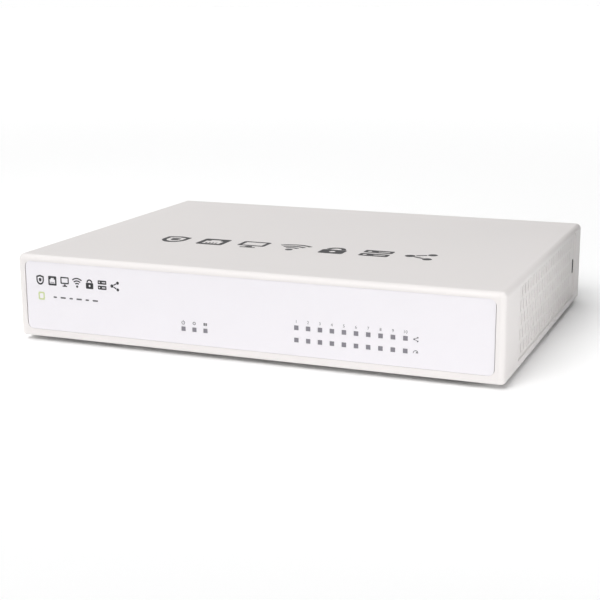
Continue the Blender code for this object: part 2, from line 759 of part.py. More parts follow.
def chips(board_level):
    black = finish("chip_epoxy", (0.03, 0.03, 0.032), 0.5)
    grey = finish("thermal_pad_grey", (0.45, 0.47, 0.50), 0.9)
    left = HEATSINK_X - HEATSINK_WIDTH / 2
    memory_x = left - MEMORY_CHIP[0]
    above = HEATSINK_Z - THERMAL_PAD[2] - GAP
    places = [
        ("processor", PROCESSOR, black, HEATSINK_X, FREE_MIDDLE, GAP),
        ("thermal_pad", THERMAL_PAD, grey, HEATSINK_X, FREE_MIDDLE, above),
        ("memory_chip_front", MEMORY_CHIP, black, memory_x, FREE_MIDDLE - MEMORY_CHIP[1], GAP),
        ("memory_chip_rear", MEMORY_CHIP, black, memory_x, FREE_MIDDLE + MEMORY_CHIP[1], GAP),
        ("flash_chip", FLASH_CHIP, black, memory_x, FREE_MIDDLE - 3 * MEMORY_CHIP[1], GAP),
        ("switch_chip", SWITCH_CHIP, black, memory_x - 2 * MEMORY_CHIP[0], FREE_MIDDLE, GAP),
    ]
    for name, size, material, x, y, z in places:
        piece(name, chip_mesh(name, size), material, (x, y, z), board_level)


def network_transformers(board_level):
    black = finish("transformer_epoxy", (0.045, 0.045, 0.05), 0.55)
    row = rear_row()
    block = block_width(BLOCK_PORTS) + 2 * SHIELD_EXTRA
    left = row["left_port"] - block / 2
    right = row["right_port"] + block / 2
    cell = (right - left) / TRANSFORMER_COUNT
    mesh = chip_mesh("network_transformer", TRANSFORMER)
    for number in range(TRANSFORMER_COUNT):
        place = (left + (number + 0.5) * cell, TRANSFORMER_Y, GAP)
        piece(f"network_transformer_{number + 1}", mesh, black, place, board_level)


def comb_outline():
    """The heatsink's section: a flat base with upright fins."""
    half = HEATSINK_WIDTH / 2
    pitch = (HEATSINK_WIDTH - FIN_THICKNESS) / (FIN_COUNT - 1)
    top = HEATSINK_BASE + FIN_HEIGHT
    points = [(-half, 0.0)]
    for fin in range(FIN_COUNT):
        left = -half + fin * pitch
        points += [(left, HEATSINK_BASE)] if fin else []
        points += [(left, top), (left + FIN_THICKNESS, top)]
        points += [(left + FIN_THICKNESS, HEATSINK_BASE)] if fin < FIN_COUNT - 1 else []
    return points + [(half, 0.0)]


def heatsink(board_level):
    aluminium = finish("anodised_aluminium", (0.22, 0.23, 0.25), 0.42, 0.9)
    half = HEATSINK_DEPTH / 2
    bm = bmesh.new()
    face = bm.faces.new([bm.verts.new((x, -half, z)) for x, z in comb_outline()])
    grown = bmesh.ops.extrude_face_region(bm, geom=[face])
    for item in grown["geom"]:
        if isinstance(item, bmesh.types.BMVert):
            item.co.y = half
    bmesh.ops.recalc_face_normals(bm, faces=bm.faces)
    place = (HEATSINK_X, FREE_MIDDLE, HEATSINK_Z)
    sink = piece("heatsink", mesh_from(bm, "heatsink"), aluminium, place, board_level)
    ends = bmesh.new()
    top = HEATSINK_BASE + FIN_HEIGHT + PAST
    wide = HEATSINK_WIDTH / 2 + PAST
    inner = half - FIN_END_SPACE
    add_box(ends, (-wide, -half - PAST, HEATSINK_BASE), (wide, -inner, top))
    add_box(ends, (-wide, inner, HEATSINK_BASE), (wide, half + PAST, top))
    shape_with(sink, "fin_ends", ends)
    holes = bmesh.new()
    for x, y in push_pin_places():
        centre = (x - HEATSINK_X, y - FREE_MIDDLE, HEATSINK_BASE / 2)
        radius = PUSH_PIN_RADIUS + HOLE_CLEARANCE
        add_rod(holes, centre, radius, HEATSINK_BASE + 2 * PAST, sides=SMALL_SIDES)
    shape_with(sink, "push_pin_holes", holes)


def push_pins(board_level):
    nylon = finish("white_nylon", (0.75, 0.74, 0.70), 0.5)
    seat = HEATSINK_Z + HEATSINK_BASE + GAP
    length = seat + BOARD_THICKNESS + PAST
    radius = PUSH_PIN_RADIUS
    wide = PUSH_PIN_HEAD_RADIUS
    profile = [(0.0, -length), (radius * POINT_SHARE, -length), (radius, -length + radius), (radius, 0.0)]
    profile += [(wide, 0.0), (wide, PUSH_PIN_HEAD), (0.0, PUSH_PIN_HEAD)]
    mesh = turned_mesh("push_pin", profile, SMALL_SIDES)
    for name, (x, y) in zip(("heatsink_pin_front", "heatsink_pin_rear"), push_pin_places()):
        piece(name, mesh, nylon, (x, y, seat), board_level)


def coin_cell(board_level):
    nylon = finish("black_nylon", (0.035, 0.035, 0.035), 0.55)
    steel = finish("cell_steel", (0.70, 0.70, 0.70), 0.25, 1.0)
    bore = CELL_RADIUS + GAP
    wall = bore + HOLDER_WALL
    inside = HOLDER_FLOOR + GAP + CELL_HEIGHT
    x = -BOARD_HALF + BOARD_SCREW_INSET + 2 * CELL_RADIUS
    y = FREE_FRONT + wall + HOLDER_WALL
    profile = [(0.0, 0.0), (wall, 0.0), (wall, inside), (bore, inside), (bore, HOLDER_FLOOR)]
    profile += [(0.0, HOLDER_FLOOR)]
    piece("cell_holder", turned_mesh("cell_holder", profile), nylon, (x, y, GAP), board_level)
    edge = CELL_EDGE
    disc = [(0.0, 0.0), (CELL_RADIUS - edge, 0.0), (CELL_RADIUS, edge), (CELL_RADIUS, CELL_HEIGHT - edge)]
    disc += [(CELL_RADIUS - edge, CELL_HEIGHT), (0.0, CELL_HEIGHT)]
    seat = GAP + HOLDER_FLOOR + GAP
    piece("coin_cell", turned_mesh("coin_cell", disc), steel, (x, y, seat), board_level)


def power_parts(board_level):
    ferrite = finish("inductor_ferrite", (0.12, 0.12, 0.125), 0.7)
    sleeve = finish("capacitor_can", (0.68, 0.69, 0.70), 0.35, 1.0)
    row = rear_row()
    front = SOCKET_FACE - POWER_DEPTH - INDUCTOR[1]
    step = 1.5 * INDUCTOR[0]
    mesh = chip_mesh("power_inductor", INDUCTOR, INDUCTOR_EDGE)
    for number in (1, 2):
        x = row["power"] - number * step
        piece(f"power_inductor_{number}", mesh, ferrite, (x, front - INDUCTOR[1] / 2, GAP), board_level)
    edge = CAPACITOR_EDGE
    can = [(0.0, 0.0), (CAPACITOR_RADIUS, 0.0), (CAPACITOR_RADIUS, CAPACITOR_HEIGHT - edge)]
    can += [(CAPACITOR_RADIUS - edge, CAPACITOR_HEIGHT), (0.0, CAPACITOR_HEIGHT)]
    mesh = turned_mesh("bulk_capacitor", can, SMALL_SIDES)
    for number in (1, 2, 3):
        x = row["power"] - number * 3 * CAPACITOR_RADIUS
        y = front - INDUCTOR[1] - 2 * CAPACITOR_RADIUS
        piece(f"bulk_capacitor_{number}", mesh, sleeve, (x, y, GAP), board_level)


# ---------------------------------------------------------------- light guides


def light_guide(name, places, bar_front, level):
    """A row of square fingers on one bar. The bar stands on the board on two end legs."""
    clear = finish("smoked_light_guide", (0.30, 0.29, 0.31), 0.15)
    half = TIP / 2
    left = places[0][0] - half
    right = places[-1][0] + half
    bm = bmesh.new()
    low = (left - GUIDE_LEG, bar_front, level - half)
    add_box(bm, low, (right + GUIDE_LEG, bar_front + GUIDE_BAR, level + half))
    guide = piece(name, mesh_from(bm, name), clear)
    fingers = bmesh.new()
    for x, z in places:
        add_box(fingers, (x - half, PLATE_FRONT, z - half), (x + half, bar_front + PAST, z + half))
    shape_with(guide, name + "_fingers", fingers, "UNION")
    legs = bmesh.new()
    back = bar_front + GUIDE_BAR
    for low_x, high_x in ((left - GUIDE_LEG, left), (right, right + GUIDE_LEG)):
        low = (low_x, bar_front, BOARD_TOP + GAP)
        add_box(legs, low, (high_x, back, level))
    shape_with(guide, name + "_legs", legs, "UNION")


def light_guides():
    light_guide("status_light_guide", status_places(), GUIDE_FRONT, LOWER_ROW_Z)
    light_guide("lower_port_light_guide", matrix_places(0), GUIDE_FRONT, LOWER_ROW_Z)
    upper_front = GUIDE_FRONT + GUIDE_BAR + GUIDE_LEG
    light_guide("upper_port_light_guide", matrix_places(1), upper_front, LOWER_ROW_Z + ROW_RISE)


# ---------------------------------------------------------------- sockets


def port_xs(ports):
    return [(i - (ports - 1) / 2) * PORT_PITCH for i in range(ports)]


def port_block(name, ports, x, board_level):
    """A moulded block with one socket and one latch notch for each port."""
    nylon = finish("black_nylon", (0.035, 0.035, 0.035), 0.55)
    width = block_width(ports)
    bm = bmesh.new()
    add_standing_box(bm, (width, BLOCK_DEPTH, BLOCK_HEIGHT))
    back = SOCKET_FACE - SHIELD_EXTRA
    place = (x, back - BLOCK_DEPTH / 2, GAP)
    block = piece(name, mesh_from(bm, name), nylon, place, board_level)
    front = BLOCK_DEPTH / 2 - SOCKET_DEPTH
    rear = BLOCK_DEPTH / 2 + PAST
    low = SOCKET_FLOOR + LATCH_HEIGHT
    sockets = bmesh.new()
    notches = bmesh.new()
    for port_x in port_xs(ports):
        half = SOCKET_WIDTH / 2
        add_box(sockets, (port_x - half, front, low), (port_x + half, rear, low + SOCKET_HEIGHT))
        half = LATCH_WIDTH / 2
        high = low + SOCKET_HEIGHT / 2
        add_box(notches, (port_x - half, front + PAST, SOCKET_FLOOR), (port_x + half, rear, high))
    shape_with(block, name + "_sockets", sockets)
    shape_with(block, name + "_notches", notches)


def port_shield(name, ports, x, board_level):
    """A folded steel shield over the block, open underneath, with a window for each port."""
    tin = finish("tinned_steel", (0.60, 0.60, 0.60), 0.28, 1.0)
    half = block_width(ports) / 2 + SHIELD_EXTRA
    depth = BLOCK_DEPTH + 2 * SHIELD_EXTRA
    bm = bmesh.new()
    add_box(bm, (-half, -depth, 0.0), (half, 0.0, SHIELD_HEIGHT))
    shield = piece(name, mesh_from(bm, name), tin, (x, SOCKET_FACE, GAP), board_level)
    hollow = bmesh.new()
    inner = half - SHIELD_SHEET
    low = (-inner, SHIELD_SHEET - depth, -PAST)
    add_box(hollow, low, (inner, -SHIELD_SHEET, SHIELD_HEIGHT - SHIELD_SHEET))
    shape_with(shield, name + "_hollow", hollow)
    windows = bmesh.new()
    for port_x in port_xs(ports):
        wide = SOCKET_WIDTH / 2
        high = SOCKET_FLOOR + LATCH_HEIGHT + SOCKET_HEIGHT
        low = (port_x - wide, -SHIELD_SHEET - GAP / 2, SOCKET_FLOOR)
        add_box(windows, low, (port_x + wide, PAST, high))
    shape_with(shield, name + "_windows", windows)


def network_sockets(board_level):
    row = rear_row()
    for prefix, ports in (("left_port", BLOCK_PORTS), ("right_port", BLOCK_PORTS), ("console", 1)):
        port_block(prefix + "_block", ports, row[prefix], board_level)
        port_shield(prefix + "_shield", ports, row[prefix], board_level)


def usb_socket(board_level):
    tin = finish("tinned_steel", (0.60, 0.60, 0.60), 0.28, 1.0)
    white = finish("white_nylon", (0.75, 0.74, 0.70), 0.5)
    x = rear_row()["usb"]
    bm = bmesh.new()
    half = SHELL_WIDTH / 2
    add_box(bm, (-half, -SHELL_DEPTH, 0.0), (half, 0.0, SHELL_HEIGHT))
    shell = piece("usb_shell", mesh_from(bm, "usb_shell"), tin, (x, SOCKET_FACE, GAP), board_level)
    hollow = bmesh.new()
    inner = half - SHELL_SHEET
    low = (-inner, SHELL_SHEET - SHELL_DEPTH, SHELL_SHEET)
    add_box(hollow, low, (inner, PAST, SHELL_HEIGHT - SHELL_SHEET))
    shape_with(shell, "usb_hollow", hollow)
    back = SHELL_SHEET + GAP - SHELL_DEPTH
    heel = bmesh.new()
    wide = inner - GAP
    seat = SHELL_SHEET + GAP
    add_box(heel, (-wide, back, seat), (wide, back + TONGUE_HEEL, SHELL_HEIGHT - seat))
    tongue = piece("usb_tongue", mesh_from(heel, "usb_tongue"), white, (x, SOCKET_FACE, GAP), board_level)
    blade = bmesh.new()
    top = SHELL_HEIGHT - SHELL_SHEET - TONGUE_DROP
    wide = TONGUE_WIDTH / 2
    low = (-wide, back + TONGUE_HEEL / 2, top - TONGUE_THICKNESS)
    add_box(blade, low, (wide, back + TONGUE_HEEL + TONGUE_LENGTH, top))
    shape_with(tongue, "usb_blade", blade, "UNION")


def power_socket(board_level):
    nylon = finish("black_nylon", (0.035, 0.035, 0.035), 0.55)
    plated = finish("plated_pin", (0.72, 0.71, 0.68), 0.25, 1.0)
    x = rear_row()["power"]
    box_rear = REAR_INNER - GAP - SOCKET_FACE
    bm = bmesh.new()
    half = POWER_WIDTH / 2
    add_box(bm, (-half, box_rear - POWER_DEPTH, 0.0), (half, box_rear, POWER_HEIGHT))
    place = (x, SOCKET_FACE, GAP)
    body = piece("power_socket", mesh_from(bm, "power_socket"), nylon, place, board_level)
    nose = bmesh.new()
    nose_start = box_rear - PAST
    centre = (0.0, nose_start / 2, POWER_AXIS_HEIGHT)
    add_rod(nose, centre, POWER_NOSE_RADIUS, -nose_start, along_y=True)
    shape_with(body, "power_nose", nose, "UNION")
    bore = bmesh.new()
    centre = (0.0, (PAST - POWER_BORE_DEPTH) / 2, POWER_AXIS_HEIGHT)
    add_rod(bore, centre, POWER_BORE_RADIUS, POWER_BORE_DEPTH + PAST, along_y=True)
    shape_with(body, "power_bore", bore)
    profile = [(0.0, 0.0), (POWER_PIN_RADIUS, 0.0), (POWER_PIN_RADIUS, POWER_PIN_LENGTH - POWER_PIN_RADIUS)]
    profile += [(POWER_PIN_RADIUS / 2, POWER_PIN_LENGTH), (0.0, POWER_PIN_LENGTH)]
    start = SOCKET_FACE - POWER_BORE_DEPTH + GAP
    place = (x, start, GAP + POWER_AXIS_HEIGHT)
    pin = piece("power_pin", turned_mesh("power_pin", profile, SMALL_SIDES), plated, place, board_level)
    pin.rotation_euler = (-math.pi / 2, 0.0, 0.0)


def reset_switch(board_level):
    """A sprung button in a small housing, reached with a pin through the rear panel."""
    nylon = finish("black_nylon", (0.035, 0.035, 0.035), 0.55)
    dark = finish("button_plastic", (0.08, 0.08, 0.085), 0.5)
    x = rear_row()["reset"]
    button_rear = REAR_INNER - 2 * GAP
    button_front = button_rear - RESET_BUTTON_LENGTH
    bore_front = button_front - RESET_TRAVEL - GAP
    body_rear = button_rear - RESET_BUTTON_LENGTH / 2
    bm = bmesh.new()
    add_standing_box(bm, (RESET_WIDTH, RESET_DEPTH, RESET_HEIGHT), y=-RESET_DEPTH / 2)
    place = (x, body_rear, GAP)
    body = piece("reset_switch_body", mesh_from(bm, "reset_switch_body"), nylon, place, board_level)
    bore = bmesh.new()
    length = body_rear - bore_front
    centre = (0.0, (PAST - length) / 2, RESET_AXIS_HEIGHT)
    bore_radius = RESET_BUTTON_RADIUS + GAP
    add_rod(bore, centre, bore_radius, length + PAST, along_y=True, sides=SMALL_SIDES)
    shape_with(body, "reset_bore", bore)
    edge = RESET_BUTTON_EDGE
    profile = [(0.0, 0.0), (RESET_BUTTON_RADIUS, 0.0), (RESET_BUTTON_RADIUS, RESET_BUTTON_LENGTH - edge)]
    profile += [(RESET_BUTTON_RADIUS - edge, RESET_BUTTON_LENGTH), (0.0, RESET_BUTTON_LENGTH)]
    mesh = turned_mesh("reset_button", profile, SMALL_SIDES)
    place = (x, button_front, GAP + RESET_AXIS_HEIGHT)
    button = piece("reset_button", mesh, dark, place, board_level)
    button.rotation_euler = (-math.pi / 2, 0.0, 0.0)


# ---------------------------------------------------------------- assembly


def build():
    clear_scene()
    board_level = bpy.data.objects.new("board_level", None)
    board_level.location = (0.0, 0.0, BOARD_TOP)
    bpy.context.scene.collection.objects.link(board_level)
    top_cover()
    front_panel()
    base_tray()
    rubber_feet()
    rating_label()
    cover_screws()
    earth_screw()
    main_board()
    board_standoffs_and_screws(board_level)
    chips(board_level)
    network_transformers(board_level)
    heatsink(board_level)
    push_pins(board_level)
    coin_cell(board_level)
    power_parts(board_level)
    light_guides()
    network_sockets(board_level)
    usb_socket(board_level)
    power_socket(board_level)
    reset_switch(board_level)


build()
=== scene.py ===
import math

import bmesh
import bpy
from mathutils import Matrix, Vector


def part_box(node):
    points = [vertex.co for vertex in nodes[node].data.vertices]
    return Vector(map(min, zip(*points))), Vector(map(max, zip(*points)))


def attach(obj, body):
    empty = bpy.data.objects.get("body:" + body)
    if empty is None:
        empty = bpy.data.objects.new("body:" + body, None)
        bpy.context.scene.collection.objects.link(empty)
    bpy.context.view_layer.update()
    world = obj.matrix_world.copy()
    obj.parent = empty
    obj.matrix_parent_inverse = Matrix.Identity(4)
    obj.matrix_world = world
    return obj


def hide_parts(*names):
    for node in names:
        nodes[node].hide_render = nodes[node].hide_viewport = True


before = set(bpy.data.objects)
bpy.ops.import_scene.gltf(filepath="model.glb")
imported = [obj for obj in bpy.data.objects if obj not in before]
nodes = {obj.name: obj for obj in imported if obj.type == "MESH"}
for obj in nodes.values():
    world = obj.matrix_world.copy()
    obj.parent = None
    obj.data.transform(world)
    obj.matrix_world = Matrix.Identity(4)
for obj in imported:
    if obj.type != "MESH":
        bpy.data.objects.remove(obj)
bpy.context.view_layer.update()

# ---------------------------------------------------------------- base tray
# The tray is 1 mm sheet steel, punched flat and folded up into low flanges and a full rear panel.
# It is powder-coated off-white, and everything else is fixed to it.

SHEET = 0.0010
BEND_OUTSIDE = 0.0014
BEND_INSIDE = 0.0004
FLANGE_HEIGHT = 0.0045
HOLE_CLEARANCE = 0.0005
PAST = 0.0010
KEYHOLE_RADIUS = 0.0036
KEYHOLE_NECK = 0.0038
KEYHOLE_NECK_LENGTH = 0.0080
KEYHOLE_X = 0.0500
KEYHOLE_Y = 0.0050
LOCK_Y = 0.0645
LOCK_Z = 0.0204
LOCK_TAB_SIZE = (0.0120, 0.0130)
LOCK_TAB_CORNER = 0.0015
LOCK_TAB_SLOT = (0.0036, 0.0076)
SCREW_HOLE = 0.0016
POWER_HOLE = 0.0047
PINHOLE = 0.0010
EARTH_HOLE = 0.0018
OPENING_CORNER = 0.0004
TRAY_COAT = (0.700, 0.690, 0.675)
SURFACE = [("Colour", "Color"), ("Roughness", "Float"), ("Height", "Float")]


def add_block(bm, low, high):
    size = Vector(high) - Vector(low)
    centre = (Vector(high) + Vector(low)) / 2
    matrix = Matrix.Translation(centre) @ Matrix.Diagonal((*size, 1.0))
    bmesh.ops.create_cube(bm, size=1.0, matrix=matrix)


def blocks(*corners):
    """Blocks in one mesh, each from a pair of corners."""
    bm = bmesh.new()
    for low, high in corners:
        add_block(bm, low, high)
    return bm


def block(low, high):
    return blocks((low, high))


def add_rod(bm, centre, radius, length, axis="Z", sides=32):
    turns = {"X": Matrix.Rotation(math.pi / 2, 4, "Y"), "Y": Matrix.Rotation(math.pi / 2, 4, "X")}
    matrix = Matrix.Translation(centre) @ turns.get(axis, Matrix.Identity(4))
    bmesh.ops.create_cone(
        bm, cap_ends=True, segments=sides, radius1=radius, radius2=radius, depth=length, matrix=matrix
    )


def soften(bm, edges, radius, segments=3):
    bmesh.ops.bevel(bm, geom=edges, offset=radius, segments=segments, profile=0.5, affect="EDGES")


def edges_along(bm, axis):
    """The straight edges that run along one axis."""
    others = [i for i in range(3) if i != axis]
    runs = [(edge, edge.verts[1].co - edge.verts[0].co) for edge in bm.edges]
    return [edge for edge, run in runs if all(abs(run[i]) < 1e-7 for i in others)]


def level_edges(bm, z):
    """The edges that lie level at a height."""
    return [e for e in bm.edges if all(abs(v.co.z - z) < 1e-7 for v in e.verts)]


def new_object(name, data):
    made = bpy.data.objects.new(name, data)
    bpy.context.scene.collection.objects.link(made)
    return made


def put(name, bm):
    """A piece from a bmesh, with its place in its mesh."""
    mesh = bpy.data.meshes.new(name)
    bm.to_mesh(mesh)
    bm.free()
    return new_object(name, mesh)


def lifted(*pieces):
    """Takes pieces away and gives back their meshes as one bmesh."""
    bm = bmesh.new()
    for piece in pieces:
        bm.from_mesh(piece.data)
        bpy.data.objects.remove(piece, do_unlink=True)
    return bm


def final_mesh(piece):
    """The mesh that a piece and its modifiers come to."""
    bpy.context.view_layer.update()
    graph = bpy.context.evaluated_depsgraph_get()
    return bpy.data.meshes.new_from_object(piece.evaluated_get(graph), depsgraph=graph)


def settle(piece):
    """Turns a piece and its modifiers into one plain mesh."""
    mesh = final_mesh(piece)
    mesh.name = piece.name
    piece.modifiers.clear()
    piece.data = mesh
    return piece


def carve(piece, *tools, operation="DIFFERENCE"):
    """Cuts solids out of a piece, or joins them on."""
    helpers = [put(f"tool_{i}", tool) for i, tool in enumerate(tools)]
    for helper in helpers:
        modifier = piece.modifiers.new(helper.name, "BOOLEAN")
        modifier.operation = operation
        modifier.solver = "EXACT"
        modifier.object = helper
    settle(piece)
    for helper in helpers:
        bpy.data.objects.remove(helper, do_unlink=True)
    return piece


def shade(piece, degrees=35):
    """Smooth shading that keeps flat faces flat and corners crisp."""
    piece.data.shade_smooth()
    piece.data.set_sharp_from_angle(angle=math.radians(degrees))
    modifier = piece.modifiers.new("flat faces", "WEIGHTED_NORMAL")
    modifier.keep_sharp = True
    return settle(piece)


def clad(piece, material):
    piece.data.materials.clear()
    piece.data.materials.append(material)
    return piece


def feed(tree, node, *in_order, **by_name):
    """Feeds a node's inputs in order or by name, each from a socket or with a plain value."""
    pairs = list(zip(node.inputs, in_order))
    pairs += [(node.inputs[label.replace("_", " ").title()], value) for label, value in by_name.items()]
    for socket, value in pairs:
        if isinstance(value, bpy.types.NodeSocket):
            tree.links.new(value, socket)
        elif value is not None:
            socket.default_value = value
    return node


def add_node(tree, kind, *in_order, **by_name):
    return feed(tree, tree.nodes.new(kind), *in_order, **by_name)


def calculate(tree, operation, *values, clamp=False):
    """One Math node, fed by sockets or numbers."""
    node = tree.nodes.new("ShaderNodeMath")
    node.operation = operation
    node.use_clamp = clamp
    return feed(tree, node, *values).outputs[0]


def combine(tree, operation, *vectors, **by_name):
    """One Vector Math node."""
    node = tree.nodes.new("ShaderNodeVectorMath")
    node.operation = operation
    return feed(tree, node, *vectors, **by_name).outputs[0]


def tint(tree, colour, factor):
    """A colour or a vector scaled by a factor."""
    return combine(tree, "SCALE", colour, scale=factor)


def speckle(tree, vector, scale, detail=2.0, roughness=0.5):
    """A Noise texture's value, from 0 to 1."""
    noise = tree.nodes.new("ShaderNodeTexNoise")
    return feed(tree, noise, vector=vector, scale=scale, detail=detail, roughness=roughness).outputs[0]


def new_group(name, kind, takes, gives):
    """An empty node group, its input sockets and its output node."""
    group = bpy.data.node_groups.new(name, kind)
    for label, value_kind, *default in takes:
        socket = group.interface.new_socket(label, in_out="INPUT", socket_type="NodeSocket" + value_kind)
        if default:
            socket.default_value = default[0]
    for label, value_kind in gives:
        group.interface.new_socket(label, in_out="OUTPUT", socket_type="NodeSocket" + value_kind)
    return group, group.nodes.new("NodeGroupInput").outputs, group.nodes.new("NodeGroupOutput")


def make_surface_grain():
    """Fine grain, slow drifts of tone and uneven gloss, for anything moulded, coated or cast."""
    takes = [
        ("Vector", "Vector"),
        ("Colour", "Color", (0.8, 0.8, 0.8, 1.0)),
        ("Grain Size", "Float", 0.0003),
        ("Drift Size", "Float", 0.03),
        ("Drift", "Float", 0.04),
        ("Speckle", "Float", 0.02),
        ("Roughness", "Float", 0.5),
        ("Gloss Drift", "Float", 0.1),
    ]
    group, take, end = new_group("surface_grain", "ShaderNodeTree", takes, SURFACE)
    fine = speckle(group, take["Vector"], calculate(group, "DIVIDE", 1.0, take["Grain Size"]))
    slow = speckle(group, take["Vector"], calculate(group, "DIVIDE", 1.0, take["Drift Size"]), 3.0)
    fine_offset = calculate(group, "SUBTRACT", fine, 0.5)
    slow_offset = calculate(group, "SUBTRACT", slow, 0.5)
    factor = calculate(group, "MULTIPLY_ADD", slow_offset, take["Drift"], 1.0)
    factor = calculate(group, "MULTIPLY_ADD", fine_offset, take["Speckle"], factor)
    rough = calculate(group, "MULTIPLY_ADD", slow_offset, take["Gloss Drift"], take["Roughness"])
    rough = calculate(group, "MULTIPLY_ADD", fine_offset, take["Gloss Drift"], rough, clamp=True)
    feed(group, end, colour=tint(group, take["Colour"], factor), roughness=rough, height=fine)
    return group


surface_grain = make_surface_grain()


def new_material(name):
    """A material, its tree, its Principled shader and the piece's own coordinates."""
    material = bpy.data.materials.new(name)
    material.use_nodes = True
    tree = material.node_tree
    coordinates = tree.nodes.new("ShaderNodeTexCoord").outputs["Object"]
    return material, tree, tree.nodes["Principled BSDF"], coordinates


def wear(tree, shader, coordinates, group, bump, **values):
    """Feeds a shader's colour, gloss and relief from a shader group. Gives back the Bump node."""
    node = tree.nodes.new("ShaderNodeGroup")
    node.node_tree = group
    given = feed(tree, node, vector=coordinates, **values).outputs
    relief = add_node(tree, "ShaderNodeBump", distance=bump, height=given["Height"])
    relief.inputs["Strength"].default_value = 1.0
    feed(tree, shader, base_color=given["Colour"], roughness=given["Roughness"], normal=relief.outputs[0])
    return relief


def grained(name, colour, bump, metallic=0.0, group=surface_grain, **values):
    """A finish whose colour, gloss and relief all come from a shader group with its own values."""
    material, tree, shader, coordinates = new_material(name)
    feed(tree, shader, metallic=metallic)
    wear(tree, shader, coordinates, group, bump, colour=(*colour, 1.0), **values)
    return material


def middle_of(node):
    low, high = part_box(node)
    return (low + high) / 2


tray_low, tray_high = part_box("base_tray")
tray_top = tray_low.z + SHEET
rear_inner = tray_high.y - SHEET


def tray_blank():
    """The folded outline before it is opened up: rounded bends outside and inside."""
    bm = block(tray_low, tray_high)
    soften(bm, level_edges(bm, tray_low.z), BEND_OUTSIDE)
    return put("tray", bm)


def tray_inside():
    low = tray_low + Vector((SHEET, SHEET, SHEET))
    bm = block(low, (tray_high.x - SHEET, rear_inner, tray_high.z + PAST))
    soften(bm, level_edges(bm, low.z), BEND_INSIDE, 2)
    return bm


def lock_tab():
    """A tab of the right flange that backs the slot for a security lock."""
    half = LOCK_TAB_SIZE[0] / 2
    top = LOCK_Z + LOCK_TAB_SIZE[1] / 2
    low = (tray_high.x - SHEET, LOCK_Y - half, tray_top)
    bm = block(low, (tray_high.x, LOCK_Y + half, top))
    corners = [e for e in level_edges(bm, top) if abs(e.verts[0].co.y - e.verts[1].co.y) < 1e-7]
    soften(bm, corners, LOCK_TAB_CORNER)
    return bm


def lock_tab_slot():
    half_y, half_z = LOCK_TAB_SLOT[0] / 2, LOCK_TAB_SLOT[1] / 2
    low = (tray_high.x - SHEET - PAST, LOCK_Y - half_y, LOCK_Z - half_z)
    return block(low, (tray_high.x + PAST, LOCK_Y + half_y, LOCK_Z + half_z))


def tray_holes():
    """Clearance holes for the four screws that hold the cover."""
    bm = bmesh.new()
    for number in range(1, 5):
        middle = middle_of(f"cover_screw_{number}")
        add_rod(bm, (middle.x, middle.y, tray_low.z + SHEET / 2), SCREW_HOLE, SHEET + 2 * PAST)
    return bm


def keyholes():
    """The round ends and the necks of the two keyholes for wall screws."""
    rounds = bmesh.new()
    necks = bmesh.new()
    middle = tray_low.z + SHEET / 2
    half = KEYHOLE_NECK / 2
    for side in (-1, 1):
        x = side * KEYHOLE_X
        add_rod(rounds, (x, KEYHOLE_Y, middle), KEYHOLE_RADIUS, SHEET + 2 * PAST, sides=48)
        low = (x - half, KEYHOLE_Y - KEYHOLE_RADIUS - KEYHOLE_NECK_LENGTH, tray_low.z - PAST)
        add_block(necks, low, (x + half, KEYHOLE_Y, tray_top + PAST))
    ends = [e for e in edges_along(necks, 2) if all(v.co.y < 0 for v in e.verts)]
    soften(necks, ends, KEYHOLE_NECK * 0.45, 6)
    return rounds, necks


def socket_openings():
    """Each opening follows its socket, with the clearance that a punch leaves."""
    bm = bmesh.new()
    spare = HOLE_CLEARANCE
    for name in ("left_port_shield", "right_port_shield", "console_shield", "usb_shell"):
        low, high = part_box(name)
        from_low = (low.x - spare, rear_inner - PAST, low.z - spare)
        add_block(bm, from_low, (high.x + spare, tray_high.y + PAST, high.z + spare))
    soften(bm, edges_along(bm, 1), OPENING_CORNER, 2)
    middle = (rear_inner + tray_high.y) / 2
    for name, radius in (("power_pin", POWER_HOLE), ("reset_button", PINHOLE), ("earth_screw", EARTH_HOLE)):
        centre = middle_of(name)
        add_rod(bm, (centre.x, middle, centre.z), radius, SHEET + 2 * PAST, "Y", 40)
    return bm


tray = carve(tray_blank(), tray_inside())
above_flange = (-1.0, -1.0, tray_low.z + FLANGE_HEIGHT)
carve(tray, block(above_flange, (1.0, rear_inner, 1.0)))
carve(tray, lock_tab(), operation="UNION")
carve(tray, lock_tab_slot(), tray_holes(), *keyholes(), socket_openings())
powder_coat = grained(
    "powder_coat",
    TRAY_COAT,
    bump=0.00006,
    grain_size=0.0007,
    drift_size=0.05,
    drift=0.03,
    speckle=0.03,
    roughness=0.48,
    gloss_drift=0.12,
)
clad(shade(tray), powder_coat)
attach(tray, "case")
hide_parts("base_tray")

# ---------------------------------------------------------------- rubber feet
# Four turned feet of soft grey rubber, moulded with a rounded rim and a shallow ring, each stuck
# into place under a corner of the tray.

FOOT_RING_RADIUS = 0.0036
FOOT_RING_DEPTH = 0.0003
FOOT_ROUNDING = 0.0007
RUBBER_GREY = (0.052, 0.052, 0.055)


def turned(profile, sides=40):
    """A bmesh solid of revolution about Z. The profile runs from the axis round to the axis."""
    bm = bmesh.new()
    verts = [bm.verts.new((radius, 0.0, z)) for radius, z in profile]
    edges = [bm.edges.new(pair) for pair in zip(verts, verts[1:])]
    bmesh.ops.spin(
        bm, geom=verts + edges, cent=(0, 0, 0), axis=(0, 0, 1), angle=2 * math.pi, steps=sides, use_merge=True
    )
    bmesh.ops.remove_doubles(bm, verts=bm.verts, dist=1e-7)
    bmesh.ops.recalc_face_normals(bm, faces=bm.faces)
    return bm


